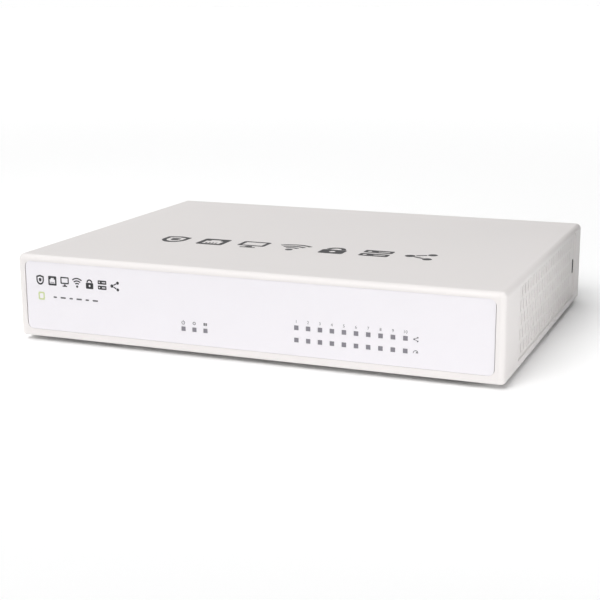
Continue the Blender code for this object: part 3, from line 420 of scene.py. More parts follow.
def quarter(centre_r, centre_z, radius, start, steps=4):
    """Points of a quarter round in a turned profile, anticlockwise from an angle in degrees."""
    angles = [math.radians(start + 90 * i / steps) for i in range(steps + 1)]
    return [(centre_r + radius * math.cos(a), centre_z + radius * math.sin(a)) for a in angles]


def laid(tree, take, points, rotation=None):
    """Copies of the piece on points, made real and given their finish."""
    sample = add_node(tree, "GeometryNodeObjectInfo", object=take["Piece"]).outputs["Geometry"]
    copies = add_node(
        tree, "GeometryNodeInstanceOnPoints", points=points, instance=sample, rotation=rotation
    )
    real = add_node(tree, "GeometryNodeRealizeInstances", copies.outputs[0]).outputs[0]
    return add_node(tree, "GeometryNodeSetMaterial", geometry=real, material=take["Finish"]).outputs[0]


def make_rows_tree():
    """Copies of one piece in rows along two steps, with every other row moved along if wanted."""
    takes = [
        ("Geometry", "Geometry"),
        ("Piece", "Object"),
        ("Columns", "Int"),
        ("Rows", "Int"),
        ("First Place", "Vector"),
        ("Column Step", "Vector"),
        ("Row Step", "Vector"),
        ("Stagger", "Vector"),
        ("Short Odd Rows", "Bool"),
        ("Finish", "Material"),
    ]
    tree, take, end = new_group("laid_in_rows", "GeometryNodeTree", takes, [("Geometry", "Geometry")])
    index = tree.nodes.new("GeometryNodeInputIndex").outputs[0]
    row = calculate(tree, "FLOOR", calculate(tree, "DIVIDE", index, take["Columns"]))
    column = calculate(tree, "FLOORED_MODULO", index, take["Columns"])
    odd = calculate(tree, "FLOORED_MODULO", row, 2.0)
    place = take["First Place"]
    for step, count in (("Column Step", column), ("Row Step", row), ("Stagger", odd)):
        place = combine(tree, "ADD", tint(tree, take[step], count), place)
    total = calculate(tree, "MULTIPLY", take["Columns"], take["Rows"])
    points = add_node(tree, "GeometryNodePoints", count=total, position=place).outputs[0]
    last = calculate(tree, "COMPARE", calculate(tree, "ADD", column, 1.0), take["Columns"], 0.5)
    spare = calculate(tree, "MULTIPLY", calculate(tree, "MULTIPLY", last, odd), take["Short Odd Rows"])
    kept = add_node(tree, "GeometryNodeDeleteGeometry", geometry=points, selection=spare).outputs[0]
    feed(tree, end, laid(tree, take, kept))
    return tree


rows_tree = make_rows_tree()


def grow(carrier, tree, sample, **values):
    """Runs a tree on a carrier, with a sample piece and named values, and keeps one plain mesh."""
    modifier = carrier.modifiers.new("copies", "NODES")
    modifier.node_group = tree
    sockets = {s.name: s.identifier for s in tree.interface.items_tree if s.in_out == "INPUT"}
    for label, value in (("piece", sample), *values.items()):
        modifier[sockets[label.replace("_", " ").title()]] = value
    settle(carrier)
    bpy.data.objects.remove(sample, do_unlink=True)
    return carrier


def in_rows(name, sample, finish, first, counts, column_step, row_step=(0, 0, 0), stagger=(0, 0, 0)):
    """Lays copies of a sample out in rows as one piece. Staggered odd rows are one copy short."""
    return grow(
        put(name, bmesh.new()),
        rows_tree,
        sample,
        columns=counts[0],
        rows=counts[1],
        first_place=tuple(first),
        column_step=tuple(column_step),
        row_step=tuple(row_step),
        stagger=tuple(stagger),
        short_odd_rows=any(stagger),
        finish=finish,
    )


rubber = grained(
    "grey_rubber",
    RUBBER_GREY,
    bump=0.00005,
    grain_size=0.0004,
    drift_size=0.006,
    drift=0.12,
    speckle=0.10,
    roughness=0.78,
    gloss_drift=0.15,
)
foot_low, foot_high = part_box("foot_front_left")
foot_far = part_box("foot_rear_right")[0]
foot_radius = (foot_high.x - foot_low.x) / 2
foot_profile = [(0.0, FOOT_RING_DEPTH), (FOOT_RING_RADIUS, FOOT_RING_DEPTH), (FOOT_RING_RADIUS + 0.0003, 0.0)]
foot_profile += quarter(foot_radius - FOOT_ROUNDING, FOOT_ROUNDING, FOOT_ROUNDING, -90)
foot_profile += [(foot_radius, tray_low.z - 0.0002), (foot_radius - 0.0002, tray_low.z), (0.0, tray_low.z)]
foot = shade(put("foot", turned(foot_profile)))
feet = in_rows(
    "rubber_feet",
    foot,
    rubber,
    first=(foot_low.x + foot_radius, foot_low.y + foot_radius, 0.0),
    counts=(2, 2),
    column_step=(foot_far.x - foot_low.x, 0.0, 0.0),
    row_step=(0.0, foot_far.y - foot_low.y, 0.0),
)
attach(feet, "case")
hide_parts("foot_front_left", "foot_front_right", "foot_rear_left", "foot_rear_right")

# ---------------------------------------------------------------- rating label
# A blank silver film with round corners, printed with a plain frame and empty fields. It is stuck
# under the tray, where such a unit carries its serial plate.

LABEL_CORNER = 0.0020
LABEL_FILM = 0.00012
INK_FILM = 0.00002
LABEL_SILVER = (0.560, 0.565, 0.570)
INK_CHARCOAL = (0.018, 0.018, 0.020)
INK_GREY = (0.110, 0.108, 0.116)
IN_MM = Matrix.Scale(0.001, 4)
FIGURE_SHARE = 0.70
LABEL_FRAME = (66, 30)


def rounded_outline(width, height, radius, steps=5):
    """A rectangle with round corners about the origin, anticlockwise."""
    x = width / 2 - radius
    y = height / 2 - radius
    points = []
    for turn, (cx, cy) in enumerate(((x, y), (-x, y), (-x, -y), (x, -y))):
        points += quarter(cx, cy, radius, 90 * turn, steps)
    return points


def loft(*rings):
    """A closed bmesh solid skinned over rings of points, with flat ends."""
    bm = bmesh.new()
    made = [[bm.verts.new(point) for point in ring] for ring in rings]
    for near, far in zip(made, made[1:]):
        for i in range(len(near)):
            j = (i + 1) % len(near)
            bm.faces.new((near[i], near[j], far[j], far[i]))
    bm.faces.new(list(reversed(made[0])))
    bm.faces.new(made[-1])
    bmesh.ops.recalc_face_normals(bm, faces=bm.faces)
    return bm


def slab(x, y, width, height, radius=0.15):
    """An outline in millimetres for printing, as are those that follow."""
    return [(x + a, y + b) for a, b in rounded_outline(width, height, radius, 3)]


def disc(x, y, radius, steps=28):
    turns = [2 * math.pi * i / steps for i in range(steps)]
    return [(x + radius * math.cos(a), y + radius * math.sin(a)) for a in turns]


def band(x, y, inner, outer, start, end, steps=20):
    """A stretch of a ring between two angles in degrees."""
    turns = [math.radians(start + (end - start) * i / steps) for i in range(steps + 1)]
    near = [(x + inner * math.cos(a), y + inner * math.sin(a)) for a in turns]
    far = [(x + outer * math.cos(a), y + outer * math.sin(a)) for a in turns]
    return far + near[::-1]


def moved(loops, x, y, scale=1.0):
    return [[(x + scale * a, y + scale * b) for a, b in loop] for loop in loops]


def inked(name, loops, place, ink, numbers=(), film=INK_FILM):
    """A printed film on a plane: outlines and their holes, and numbers as (text, x, y, height)."""
    helpers = []
    art = bpy.data.curves.new("print", "CURVE")
    art.dimensions = "2D"
    art.fill_mode = "BOTH"
    for loop in loops:
        spline = art.splines.new("POLY")
        spline.points.add(len(loop) - 1)
        spline.points.foreach_set("co", [value for x, y in loop for value in (x, y, 0.0, 1.0)])
        spline.use_cyclic_u = True
    helpers.append((art, Matrix.Identity(4)))
    for text, x, y, height in numbers:
        figure = bpy.data.curves.new("figure", "FONT")
        figure.body = text
        figure.size = height / FIGURE_SHARE
        figure.align_x = "CENTER"
        figure.align_y = "CENTER"
        figure.resolution_u = 3
        helpers.append((figure, Matrix.Translation((x, y, 0.0))))
    bm = bmesh.new()
    for art, shift in helpers:
        art.extrude = film * 1000 / 2
        holder = new_object("print", art)
        mesh = final_mesh(holder)
        mesh.transform(shift)
        bm.from_mesh(mesh)
        bpy.data.objects.remove(holder, do_unlink=True)
        bpy.data.meshes.remove(mesh)
    bmesh.ops.remove_doubles(bm, verts=bm.verts, dist=1e-5)
    bm.transform(place @ IN_MM)
    bmesh.ops.recalc_face_normals(bm, faces=bm.faces)
    return clad(put(name, bm), ink)


def seat(piece, slot_name, *stands_for):
    """Fixes a finished piece to the case in place of any CAD nodes named. The slot name is not used."""
    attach(piece, "case")
    if stands_for:
        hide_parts(*stands_for)
    return piece


def facing_down(x, y, z):
    """A plane seen from below, its width running the other way."""
    return Matrix.Translation((x, y, z)) @ Matrix.Rotation(math.pi, 4, "Y")


label_low, label_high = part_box("rating_label")
label_size = label_high - label_low
label_x, label_y = middle_of("rating_label").xy
label_outline = rounded_outline(label_size.x, label_size.y, LABEL_CORNER)
label_face = tray_low.z - LABEL_FILM
label_rings = [[(label_x + x, label_y + y, z) for x, y in label_outline] for z in (label_face, tray_low.z)]
label_film = grained(
    "silver_film",
    LABEL_SILVER,
    bump=0.00001,
    metallic=0.25,
    grain_size=0.0009,
    drift_size=0.02,
    drift=0.05,
    speckle=0.03,
    roughness=0.42,
    gloss_drift=0.15,
)
label = clad(shade(put("rating_label_film", loft(*label_rings))), label_film)
seat(label, "label_film", "rating_label")

dark_ink = grained(
    "charcoal_ink", INK_CHARCOAL, bump=0.000002, drift=0.10, speckle=0.10, roughness=0.42, gloss_drift=0.12
)
grey_ink = grained(
    "grey_ink", INK_GREY, bump=0.000002, drift=0.10, speckle=0.10, roughness=0.45, gloss_drift=0.12
)
label_art = [slab(0, 0, *LABEL_FRAME, 1.5), slab(0, 0, LABEL_FRAME[0] - 1, LABEL_FRAME[1] - 1, 1.0)]
for row in range(3):
    for column, (x, width) in enumerate(((-21.5, 18.0), (6.5, 34.0))):
        y = 9.0 - 9.0 * row
        label_art += [slab(x, y, width, 6.0, 0.6), slab(x, y, width - 0.6, 5.4, 0.4)]
label_plane = facing_down(label_x, label_y, label_face - INK_FILM)
label_print = inked("rating_label_print", label_art, label_plane, grey_ink)
seat(label_print, "label_film")

# ---------------------------------------------------------------- standoffs and board screws
# Four hexagonal brass standoffs are riveted to the tray floor. A small pan-head machine screw with
# a cross recess goes down into each and holds the circuit board.

STANDOFF_BORE = 0.0013
STANDOFF_EDGE = 0.0003
BOARD_THREAD = 0.0005
THREAD_DEPTH_SHARE = 0.55
CROSS_DEPTH = 0.0008
CROSS_ARM = 0.00040
SCUFF_SCALE = 900.0
NICKEL_BRASS = (0.560, 0.500, 0.360)
ZINC_STEEL = (0.480, 0.485, 0.490)


def make_drawn_metal():
    """Fine streaks along one direction, with scattered scuffs, for rolled, drawn or turned metal."""
    takes = [
        ("Vector", "Vector"),
        ("Colour", "Color", (0.6, 0.6, 0.6, 1.0)),
        ("Stretch", "Vector", (1.0, 1.0, 1.0)),
        ("Streak", "Float", 0.15),
        ("Roughness", "Float", 0.3),
        ("Scuff", "Float", 0.2),
    ]
    group, take, end = new_group("drawn_metal", "ShaderNodeTree", takes, SURFACE)
    drawn = combine(group, "MULTIPLY", take["Vector"], take["Stretch"])
    streaks = speckle(group, drawn, 1.0, 4.0, 0.6)
    scuffs = speckle(group, take["Vector"], SCUFF_SCALE, 4.0, 0.7)
    offset = calculate(group, "SUBTRACT", streaks, 0.5)
    factor = calculate(group, "MULTIPLY_ADD", offset, take["Streak"], 1.0)
    rough = calculate(group, "MULTIPLY_ADD", offset, take["Streak"], take["Roughness"])
    worn = calculate(group, "POWER", scuffs, 4.0)
    rough = calculate(group, "MULTIPLY_ADD", worn, take["Scuff"], rough, clamp=True)
    feed(group, end, colour=tint(group, take["Colour"], factor), roughness=rough, height=streaks)
    return group


drawn_metal = make_drawn_metal()


def metal(name, colour, stretch, bump=0.00001, metallic=1.0, **values):
    """A metal finish from the streaks and scuffs of the drawn metal group."""
    return grained(name, colour, bump, metallic, drawn_metal, stretch=stretch, **values)


def screw(name, radius, length, head_radius, head, pitch, sides=28):
    """A pan-head screw with a turned thread and a cross recess. Its head stands on z = 0."""
    crown = head * 0.55
    stations = round((length - radius) / (pitch / 4))
    profile = [(0.0, -length), (radius * 0.55, -length)]
    profile += [(radius, -(length - radius) * (1 - i / stations)) for i in range(stations + 1)]
    profile += [(head_radius - 0.0001, 0.0), (head_radius, 0.0001)]
    for i in range(7):
        turn = math.radians(15 * i)
        profile.append((head_radius * math.cos(turn), head - crown + crown * math.sin(turn)))
    bm = turned(profile, sides)
    for vert in bm.verts:
        out = math.hypot(vert.co.x, vert.co.y)
        if abs(out - radius) < 1e-6 and vert.co.z < -pitch:
            phase = (vert.co.z / pitch - math.atan2(vert.co.y, vert.co.x) / (2 * math.pi)) % 1.0
            fall = pitch * THREAD_DEPTH_SHARE * abs(2 * phase - 1)
            vert.co.x *= 1 - fall / out
            vert.co.y *= 1 - fall / out
    bmesh.ops.remove_doubles(bm, verts=bm.verts, dist=1e-7)
    made = put(name, bm)
    blades = []
    for turn in (0.0, math.pi / 2):
        rings = []
        for z, reach, half in (
            (head - CROSS_DEPTH, head_radius * 0.25, CROSS_ARM * 0.6),
            (head + PAST / 10, head_radius * 0.62, CROSS_ARM),
        ):
            corners = [(-reach, -half), (reach, -half), (reach, half), (-reach, half)]
            spin = Matrix.Rotation(turn, 3, "Z")
            rings.append([spin @ Vector((x, y, z)) for x, y in corners])
        blades.append(loft(*rings))
    return shade(carve(made, *blades), 30)


board_low, board_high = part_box("main_board")
first_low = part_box("board_screw_1")[0]
across_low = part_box("board_screw_2")[0]
back_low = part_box("board_screw_3")[0]
screw_x, screw_y = middle_of("board_screw_1").xy
screw_steps = {
    "counts": (2, 2),
    "column_step": (across_low.x - first_low.x, 0.0, 0.0),
    "row_step": (0.0, back_low.y - first_low.y, 0.0),
}
standoff_low, standoff_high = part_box("board_standoff_1")
standoff_radius = (standoff_high.y - standoff_low.y) / 2
hexagon_rings = []
for z, inset in (
    (tray_top, STANDOFF_EDGE),
    (tray_top + STANDOFF_EDGE, 0.0),
    (board_low.z - STANDOFF_EDGE, 0.0),
    (board_low.z, STANDOFF_EDGE),
):
    hexagon = disc(0.0, 0.0, standoff_radius - inset, 6)
    hexagon_rings.append([(-y, x, z) for x, y in hexagon])
standoff_bore = bmesh.new()
standoff_middle = (tray_top + board_low.z) / 2
add_rod(standoff_bore, (0, 0, standoff_middle), STANDOFF_BORE, board_low.z - tray_top + PAST, sides=24)
standoff = shade(carve(put("standoff", loft(*hexagon_rings)), standoff_bore))
brass = metal("nickelled_brass", NICKEL_BRASS, (400, 400, 4000), streak=0.18, roughness=0.28, scuff=0.3)
standoffs = in_rows("board_standoffs", standoff, brass, (screw_x, screw_y, 0.0), **screw_steps)
seat(standoffs, "standoff_brass", *[f"board_standoff_{i}" for i in (1, 2, 3, 4)])

zinc = metal("zinc_plate", ZINC_STEEL, (900, 900, 5000), streak=0.20, roughness=0.30, scuff=0.4)
board_screw = screw(
    "board_screw", radius=0.0012, length=0.0048, head_radius=0.0027, head=0.0016, pitch=BOARD_THREAD
)
board_screws = in_rows("board_screws", board_screw, zinc, (screw_x, screw_y, board_high.z), **screw_steps)
seat(board_screws, "screw_steel", *[f"board_screw_{i}" for i in (1, 2, 3, 4)])

# ---------------------------------------------------------------- circuit board
# The board is green glass laminate, 1.6 mm thick, with copper tracks under its solder mask. Rows
# of tiny resistors and capacitors are soldered on top, and gold rings sit round the screw holes.

PART_SPACING = 0.0021
PART_GRID = 0.00025
PART_SEED = 11
ZONE_MARGIN = 0.0030
MOST_PARTS = 400000.0
PATCH_SCALE = 90.0
TRACK_SCALE = 2200.0
VIA_SCALE = 260.0
BARE_SHARE = 0.45
TRACK_GAP = 0.62
VIA_REACH = 0.09
MASK_GREEN = (0.012, 0.085, 0.040)
TRACK_GREEN = (0.030, 0.155, 0.075)
LAMINATE = (0.360, 0.330, 0.190)
COPPER_GOLD = (0.780, 0.560, 0.220)
RESISTOR_BLACK = (0.030, 0.030, 0.034)
CAPACITOR_TAN = (0.330, 0.230, 0.140)
SOLDER_TIN = (0.600, 0.600, 0.590)


def laminate_material():
    """Solder mask over tracks that run square in some patches and across in others, with vias."""
    material, tree, shader, coordinates = new_material("green_laminate")
    part = add_node(tree, "ShaderNodeSeparateXYZ", coordinates).outputs
    patches = add_node(tree, "ShaderNodeTexVoronoi", vector=coordinates, scale=PATCH_SCALE)
    patches.distance = "CHEBYCHEV"
    choice = add_node(tree, "ShaderNodeSeparateColor", patches.outputs["Color"]).outputs
    turned_patch = calculate(tree, "GREATER_THAN", choice["Red"], 0.5)
    filled_patch = calculate(tree, "GREATER_THAN", choice["Green"], BARE_SHARE)

    def lines(value):
        wave = calculate(tree, "PINGPONG", calculate(tree, "MULTIPLY", value, TRACK_SCALE), 1.0)
        return calculate(tree, "GREATER_THAN", wave, TRACK_GAP)

    def blend(factor, first, second):
        mix = tree.nodes.new("ShaderNodeMix")
        mix.data_type = "RGBA"
        feed(tree, mix, factor=factor)
        for socket, colour in zip(mix.inputs[6:8], (first, second)):
            if isinstance(colour, tuple):
                socket.default_value = (*colour, 1.0)
            else:
                tree.links.new(colour, socket)
        return mix.outputs[2]

    along = lines(part["X"])
    over = lines(part["Y"])
    mixed = calculate(tree, "MULTIPLY_ADD", calculate(tree, "SUBTRACT", over, along), turned_patch, along)
    tracks = calculate(tree, "MULTIPLY", mixed, filled_patch)
    dots = add_node(tree, "ShaderNodeTexVoronoi", vector=coordinates, scale=VIA_SCALE)
    vias = calculate(tree, "LESS_THAN", dots.outputs["Distance"], VIA_REACH)
    copper = calculate(tree, "MAXIMUM", tracks, vias, clamp=True)
    middle = (board_low.z + board_high.z) / 2
    from_middle = calculate(tree, "ABSOLUTE", calculate(tree, "SUBTRACT", part["Z"], middle))
    edge = calculate(tree, "LESS_THAN", from_middle, (board_high.z - board_low.z) / 2 - 0.00005)
    body = blend(edge, blend(copper, MASK_GREEN, TRACK_GREEN), LAMINATE)
    values = {"grain_size": 0.0006, "drift_size": 0.03, "drift": 0.12, "roughness": 0.34}
    relief = wear(tree, shader, coordinates, surface_grain, 0.00002, colour=body, **values)
    feed(tree, relief, height=copper)
    return material


def finish_node(name, material):
    """Gives a CAD node that stays in view its finished material."""
    for place in nodes[name].material_slots:
        place.material = material


finish_node("main_board", laminate_material())


def ring_plate(inner, outer, thickness, sides=36):
    return turned([(inner, 0.0), (outer, 0.0), (outer, thickness), (inner, thickness), (inner, 0.0)], sides)


gold = metal("gold_plate", COPPER_GOLD, (3000, 3000, 3000), streak=0.10, roughness=0.22, scuff=0.2)
hole_ring = shade(put("hole_ring", ring_plate(inner=0.0018, outer=0.0032, thickness=0.00004)))
rings = in_rows("board_gold_rings", hole_ring, gold, (screw_x, screw_y, board_high.z), **screw_steps)
seat(rings, "plated_pin")


def make_strewn_tree():
    """Small parts set down square on a fine grid over an area, the same for every part of one kind."""
    takes = [
        ("Area", "Geometry"),
        ("Piece", "Object"),
        ("Spacing", "Float"),
        ("Grid", "Float"),
        ("Seed", "Int"),
        ("Pick From", "Float"),
        ("Pick To", "Float"),
        ("Finish", "Material"),
    ]
    tree, take, end = new_group("strewn_parts", "GeometryNodeTree", takes, [("Geometry", "Geometry")])
    scatter = tree.nodes.new("GeometryNodeDistributePointsOnFaces")
    scatter.distribute_method = "POISSON"
    feed(tree, scatter, mesh=take["Area"], distance_min=take["Spacing"], seed=take["Seed"])
    feed(tree, scatter, density_max=MOST_PARTS)
    position = tree.nodes.new("GeometryNodeInputPosition").outputs[0]
    square = combine(tree, "SNAP", position, take["Grid"])
    level = add_node(tree, "ShaderNodeSeparateXYZ", position).outputs["Z"]
    flat = add_node(tree, "ShaderNodeSeparateXYZ", square).outputs
    spot = add_node(tree, "ShaderNodeCombineXYZ", flat["X"], flat["Y"], level).outputs[0]
    points = scatter.outputs["Points"]
    points = add_node(tree, "GeometryNodeSetPosition", geometry=points, position=spot).outputs[0]

    def chance(kind, low, high, offset):
        node = tree.nodes.new("FunctionNodeRandomValue")
        node.data_type = kind
        lowest, highest = [s for s in node.inputs if s.enabled][:2]
        lowest.default_value = low
        highest.default_value = high
        feed(tree, node, seed=calculate(tree, "ADD", take["Seed"], offset))
        return next(s for s in node.outputs if s.enabled)

    lot = chance("FLOAT", 0.0, 1.0, 1)
    early = calculate(tree, "LESS_THAN", lot, take["Pick From"])
    late = calculate(tree, "GREATER_THAN", lot, take["Pick To"])
    others = calculate(tree, "MAXIMUM", early, late)
    kept = add_node(tree, "GeometryNodeDeleteGeometry", geometry=points, selection=others).outputs[0]
    quarter_turns = calculate(tree, "MULTIPLY", chance("INT", 0, 1, 2), math.pi / 2)
    rotation = add_node(tree, "ShaderNodeCombineXYZ", z=quarter_turns).outputs[0]
    feed(tree, end, laid(tree, take, kept, rotation))
    return tree


strewn_tree = make_strewn_tree()


def part_zones():
    """The clear stretches of the board, as (x, y) of two corners, between the larger parts."""
    sink_low, sink_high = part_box("heatsink")
    hub_low, hub_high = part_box("switch_chip")
    coil_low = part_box("network_transformer_1")[0]
    flash_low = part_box("flash_chip")[0]
    margin = ZONE_MARGIN
    return [
        (hub_low.x - 0.012, hub_high.y + margin, hub_high.x + 0.006, coil_low.y - margin),
        (hub_low.x - 0.012, hub_low.y - 0.014, hub_high.x, hub_low.y - margin),
        (hub_high.x + margin, hub_high.y + 0.008, sink_low.x - margin, coil_low.y - margin),
        (flash_low.x - 0.004, -0.058, sink_low.x + 0.006, flash_low.y - margin),
        (sink_low.x + 0.004, sink_high.y + margin, sink_high.x, coil_low.y - margin),
        (sink_high.x + margin, sink_low.y, 0.084, sink_high.y),
        (sink_low.x + 0.003, -0.060, sink_high.x, sink_low.y - margin),
    ]


def strewn(name, shape, finish, pick_from, pick_to):
    """Lays one kind of small part over the board's clear stretches."""
    bm = bmesh.new()
    for left, near, right, far in part_zones():
        corners = ((left, near), (right, near), (right, far), (left, far))
        bm.faces.new([bm.verts.new((x, y, board_high.z)) for x, y in corners])
    values = {"spacing": PART_SPACING, "grid": PART_GRID, "seed": PART_SEED, "finish": finish}
    return grow(
        put(name, bm), strewn_tree, put("sample", shape), pick_from=pick_from, pick_to=pick_to, **values
    )


resistor = blocks(((-0.00032, -0.00026, 0.00002), (0.00032, 0.00026, 0.00032)))
capacitor = blocks(((-0.00032, -0.00028, 0.00002), (0.00032, 0.00028, 0.00052)))
end_caps = blocks(
    ((-0.00052, -0.00030, 0.0), (-0.00032, 0.00030, 0.00036)),
    ((0.00032, -0.00030, 0.0), (0.00052, 0.00030, 0.00036)),
)
fine = {"bump": 0.000003, "grain_size": 0.0002, "drift_size": 0.02, "drift": 0.2, "gloss_drift": 0.1}
resistor_black = grained("resistor_glaze", RESISTOR_BLACK, speckle=0.2, roughness=0.30, **fine)
capacitor_tan = grained("capacitor_ceramic", CAPACITOR_TAN, speckle=0.1, roughness=0.50, **fine)
solder = metal("solder_tin", SOLDER_TIN, (4000, 4000, 4000), streak=0.15, roughness=0.32, scuff=0.3)
seat(strewn("small_resistors", resistor, resistor_black, 0.0, 0.45), "chip_epoxy")
seat(strewn("small_capacitors", capacitor, capacitor_tan, 0.45, 1.0), "inductor_ferrite")
seat(strewn("small_part_ends", end_caps, solder, 0.0, 1.0), "tinned_steel")

# ---------------------------------------------------------------- chips
# The processor, its two memories, the flash memory and the network switch are black epoxy packages
# with a small round mark at one corner. The switch and the flash stand on gull-wing leads.

CHIP_EDGE = 0.00025
CHIP_STAND_OFF = 0.00010
LEAD_WIDTH = 0.00024
LEAD_REACH = 0.0009
SWITCH_LEADS = 32
SWITCH_LEAD_PITCH = 0.0005
FLASH_LEADS = 4
FLASH_LEAD_PITCH = 0.00127
FLASH_LEAD_WIDTH = 0.0004
MARK_INSET = 0.0013
EPOXY_BLACK = (0.022, 0.022, 0.024)


def package(node, draft=0.00015):
    """A moulded package with its parting line at half height and its upper edges broken."""
    low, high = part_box(node)
    low.z = board_high.z + CHIP_STAND_OFF
    centre = (low + high) / 2
    rings = []
    for z, inset in (
        (low.z, draft),
        (centre.z, 0.0),
        (high.z - CHIP_EDGE, draft),
        (high.z, draft + CHIP_EDGE),
    ):
        outline = rounded_outline(high.x - low.x - 2 * inset, high.y - low.y - 2 * inset, 0.0003, 3)
        rings.append([(centre.x + x, centre.y + y, z) for x, y in outline])
    return loft(*rings)


def gathered(*solids):
    """Several bmesh solids as one."""
    return lifted(*[put("part", solid) for solid in solids])


def bent_strip(path, width, thickness):
    """A strip of constant width that follows points in the Y-Z plane."""
    rings = []
    for i, (y, z) in enumerate(path):
        before = Vector(path[max(i - 1, 0)])
        after = Vector(path[min(i + 1, len(path) - 1)])
        run = (after - before).normalized()
        side = Vector((-run.y, run.x)) * thickness / 2
        half = width / 2
        rings.append([
            (-half, y - side.x, z - side.y),
            (half, y - side.x, z - side.y),
            (half, y + side.x, z + side.y),
            (-half, y + side.x, z + side.y),
        ])
    return loft(*rings)


def lead(height, width, turn):
    """A gull-wing lead that leaves the package, drops to the board and lies flat on its pad."""
    path = [(-0.0003, height), (LEAD_REACH * 0.35, height)]
    path += [(LEAD_REACH * 0.6, 0.00010), (LEAD_REACH, 0.00006)]
    bm = bent_strip(path, width, 0.00012)
    bm.transform(Matrix.Rotation(turn, 4, "Z"))
    return put("lead", bm)


chip_names = ("processor", "memory_chip_front", "memory_chip_rear", "flash_chip", "switch_chip")
epoxy = grained(
    "chip_moulding",
    EPOXY_BLACK,
    bump=0.000012,
    grain_size=0.00012,
    drift_size=0.01,
    drift=0.15,
    speckle=0.25,
    roughness=0.55,
    gloss_drift=0.12,
)
packages = put("chip_packages", gathered(*[package(name) for name in chip_names]))
seat(clad(shade(packages, 20), epoxy), "chip_epoxy", *chip_names)

lead_rows = []
for node, count, pitch, width, turns in (
    ("switch_chip", SWITCH_LEADS, SWITCH_LEAD_PITCH, LEAD_WIDTH, (0, 1, 2, 3)),
    ("flash_chip", FLASH_LEADS, FLASH_LEAD_PITCH, FLASH_LEAD_WIDTH, (0, 2)),
):
    low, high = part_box(node)
    middle = (low + high) / 2
    height = (high.z - board_high.z) / 2
    for turn in turns:
        outwards = Matrix.Rotation(turn * math.pi / 2, 3, "Z") @ Vector((0.0, 1.0, 0.0))
        along = Vector((outwards.y, -outwards.x, 0.0))
        reach = (high.x - low.x) / 2 if turn % 2 else (high.y - low.y) / 2
        first = Vector((middle.x, middle.y, board_high.z)) + outwards * reach
        first -= along * pitch * (count - 1) / 2
        sample = lead(height, width, turn * math.pi / 2)
        lead_rows.append(in_rows("leads", sample, solder, first, (count, 1), along * pitch))


def joined(name, pieces, material):
    """Makes one piece of several that share a finish."""
    return clad(put(name, lifted(*pieces)), material)


seat(joined("chip_leads", lead_rows, solder), "tinned_steel")
corner_marks = []
for node in chip_names[1:]:
    low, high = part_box(node)
    plane = Matrix.Translation((low.x + MARK_INSET, low.y + MARK_INSET, high.z + INK_FILM))
    corner_marks.append(inked("corner_mark", [disc(0, 0, 0.35)], plane, grey_ink))
seat(joined("chip_corner_marks", corner_marks, grey_ink), "chip_epoxy")

# ---------------------------------------------------------------- network transformers
# Five moulded transformer blocks stand in a row in front of the sockets, each on two rows of twelve
# leads. They part the network lines from the board.

TRANSFORMER_LEADS = 12
TRANSFORMER_LEAD_PITCH = 0.00115
TRANSFORMER_EDGE = 0.0004
DIMPLE_INSET = 0.0018
DIMPLE_RADIUS = 0.0006
DIMPLE_DEPTH = 0.00015

coil_low, coil_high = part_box("network_transformer_1")
coil_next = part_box("network_transformer_2")[0]
coil_step = (coil_next.x - coil_low.x, 0.0, 0.0)
coil_middle = middle_of("network_transformer_1")


def transformer():
    rings = []
    steps = ((0.06, 0.0003), (0.45, 0.0), (0.50, 0.0), (0.94, 0.0003), (1.0, 0.0003 + TRANSFORMER_EDGE))
    for share, inset in steps:
        z = board_high.z + share * (coil_high.z - board_high.z)
        width = coil_high.x - coil_low.x - 2 * inset
        outline = rounded_outline(width, coil_high.y - coil_low.y - 2 * inset, 0.0005, 3)
        rings.append([(coil_middle.x + x, coil_middle.y + y, z) for x, y in outline])
    return rings


block_sample = put("transformer", loft(*transformer()))
dimple = bmesh.new()
dimple_place = (coil_low.x + DIMPLE_INSET, coil_low.y + DIMPLE_INSET, coil_high.z)
add_rod(dimple, dimple_place, DIMPLE_RADIUS, 2 * DIMPLE_DEPTH, sides=24)
carve(block_sample, dimple)
coils = in_rows("network_transformers", shade(block_sample, 25), epoxy, (0, 0, 0), (5, 1), coil_step)
seat(coils, "chip_epoxy", *[f"network_transformer_{i}" for i in range(1, 6)])

coil_leads = []
for turn, edge_y in ((0, coil_high.y), (2, coil_low.y)):
    sample = lead(height=0.0012, width=0.0004, turn=turn * math.pi / 2)
    first_x = coil_middle.x - (TRANSFORMER_LEADS - 1) / 2 * TRANSFORMER_LEAD_PITCH
    step = (TRANSFORMER_LEAD_PITCH, 0.0, 0.0)
    first = (first_x, edge_y, board_high.z)
    coil_leads.append(in_rows("leads", sample, solder, first, (TRANSFORMER_LEADS, 5), step, coil_step))
seat(joined("transformer_leads", coil_leads, solder), "tinned_steel")

# ---------------------------------------------------------------- clock cell
# A 20 mm lithium cell keeps the clock. It lies in a round black nylon holder with two finger cuts,
# under a sprung steel strap that touches its upper face.

CELL_RIM = 0.0004
CELL_STEP = 0.0008
STRAP_WIDTH = 0.0040
FINGER_CUT = 0.0015
FINGER_CUT_WIDTH = 0.0080
CELL_NICKEL = (0.620, 0.625, 0.620)
NYLON_BLACK = (0.020, 0.020, 0.021)

nylon = grained(
    "black_nylon",
    NYLON_BLACK,
    bump=0.000015,
    grain_size=0.0002,
    drift_size=0.012,
    drift=0.18,
    speckle=0.22,
    roughness=0.50,
    gloss_drift=0.15,
)
nickel = metal("nickel_plate", CELL_NICKEL, (900, 900, 900), streak=0.10, roughness=0.24, scuff=0.35)
holder_low, holder_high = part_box("cell_holder")
cell_low, cell_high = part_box("coin_cell")
cell_x, cell_y = middle_of("coin_cell").xy
cell_radius = (cell_high.x - cell_low.x) / 2
at_cell = Matrix.Translation((cell_x, cell_y, 0.0))

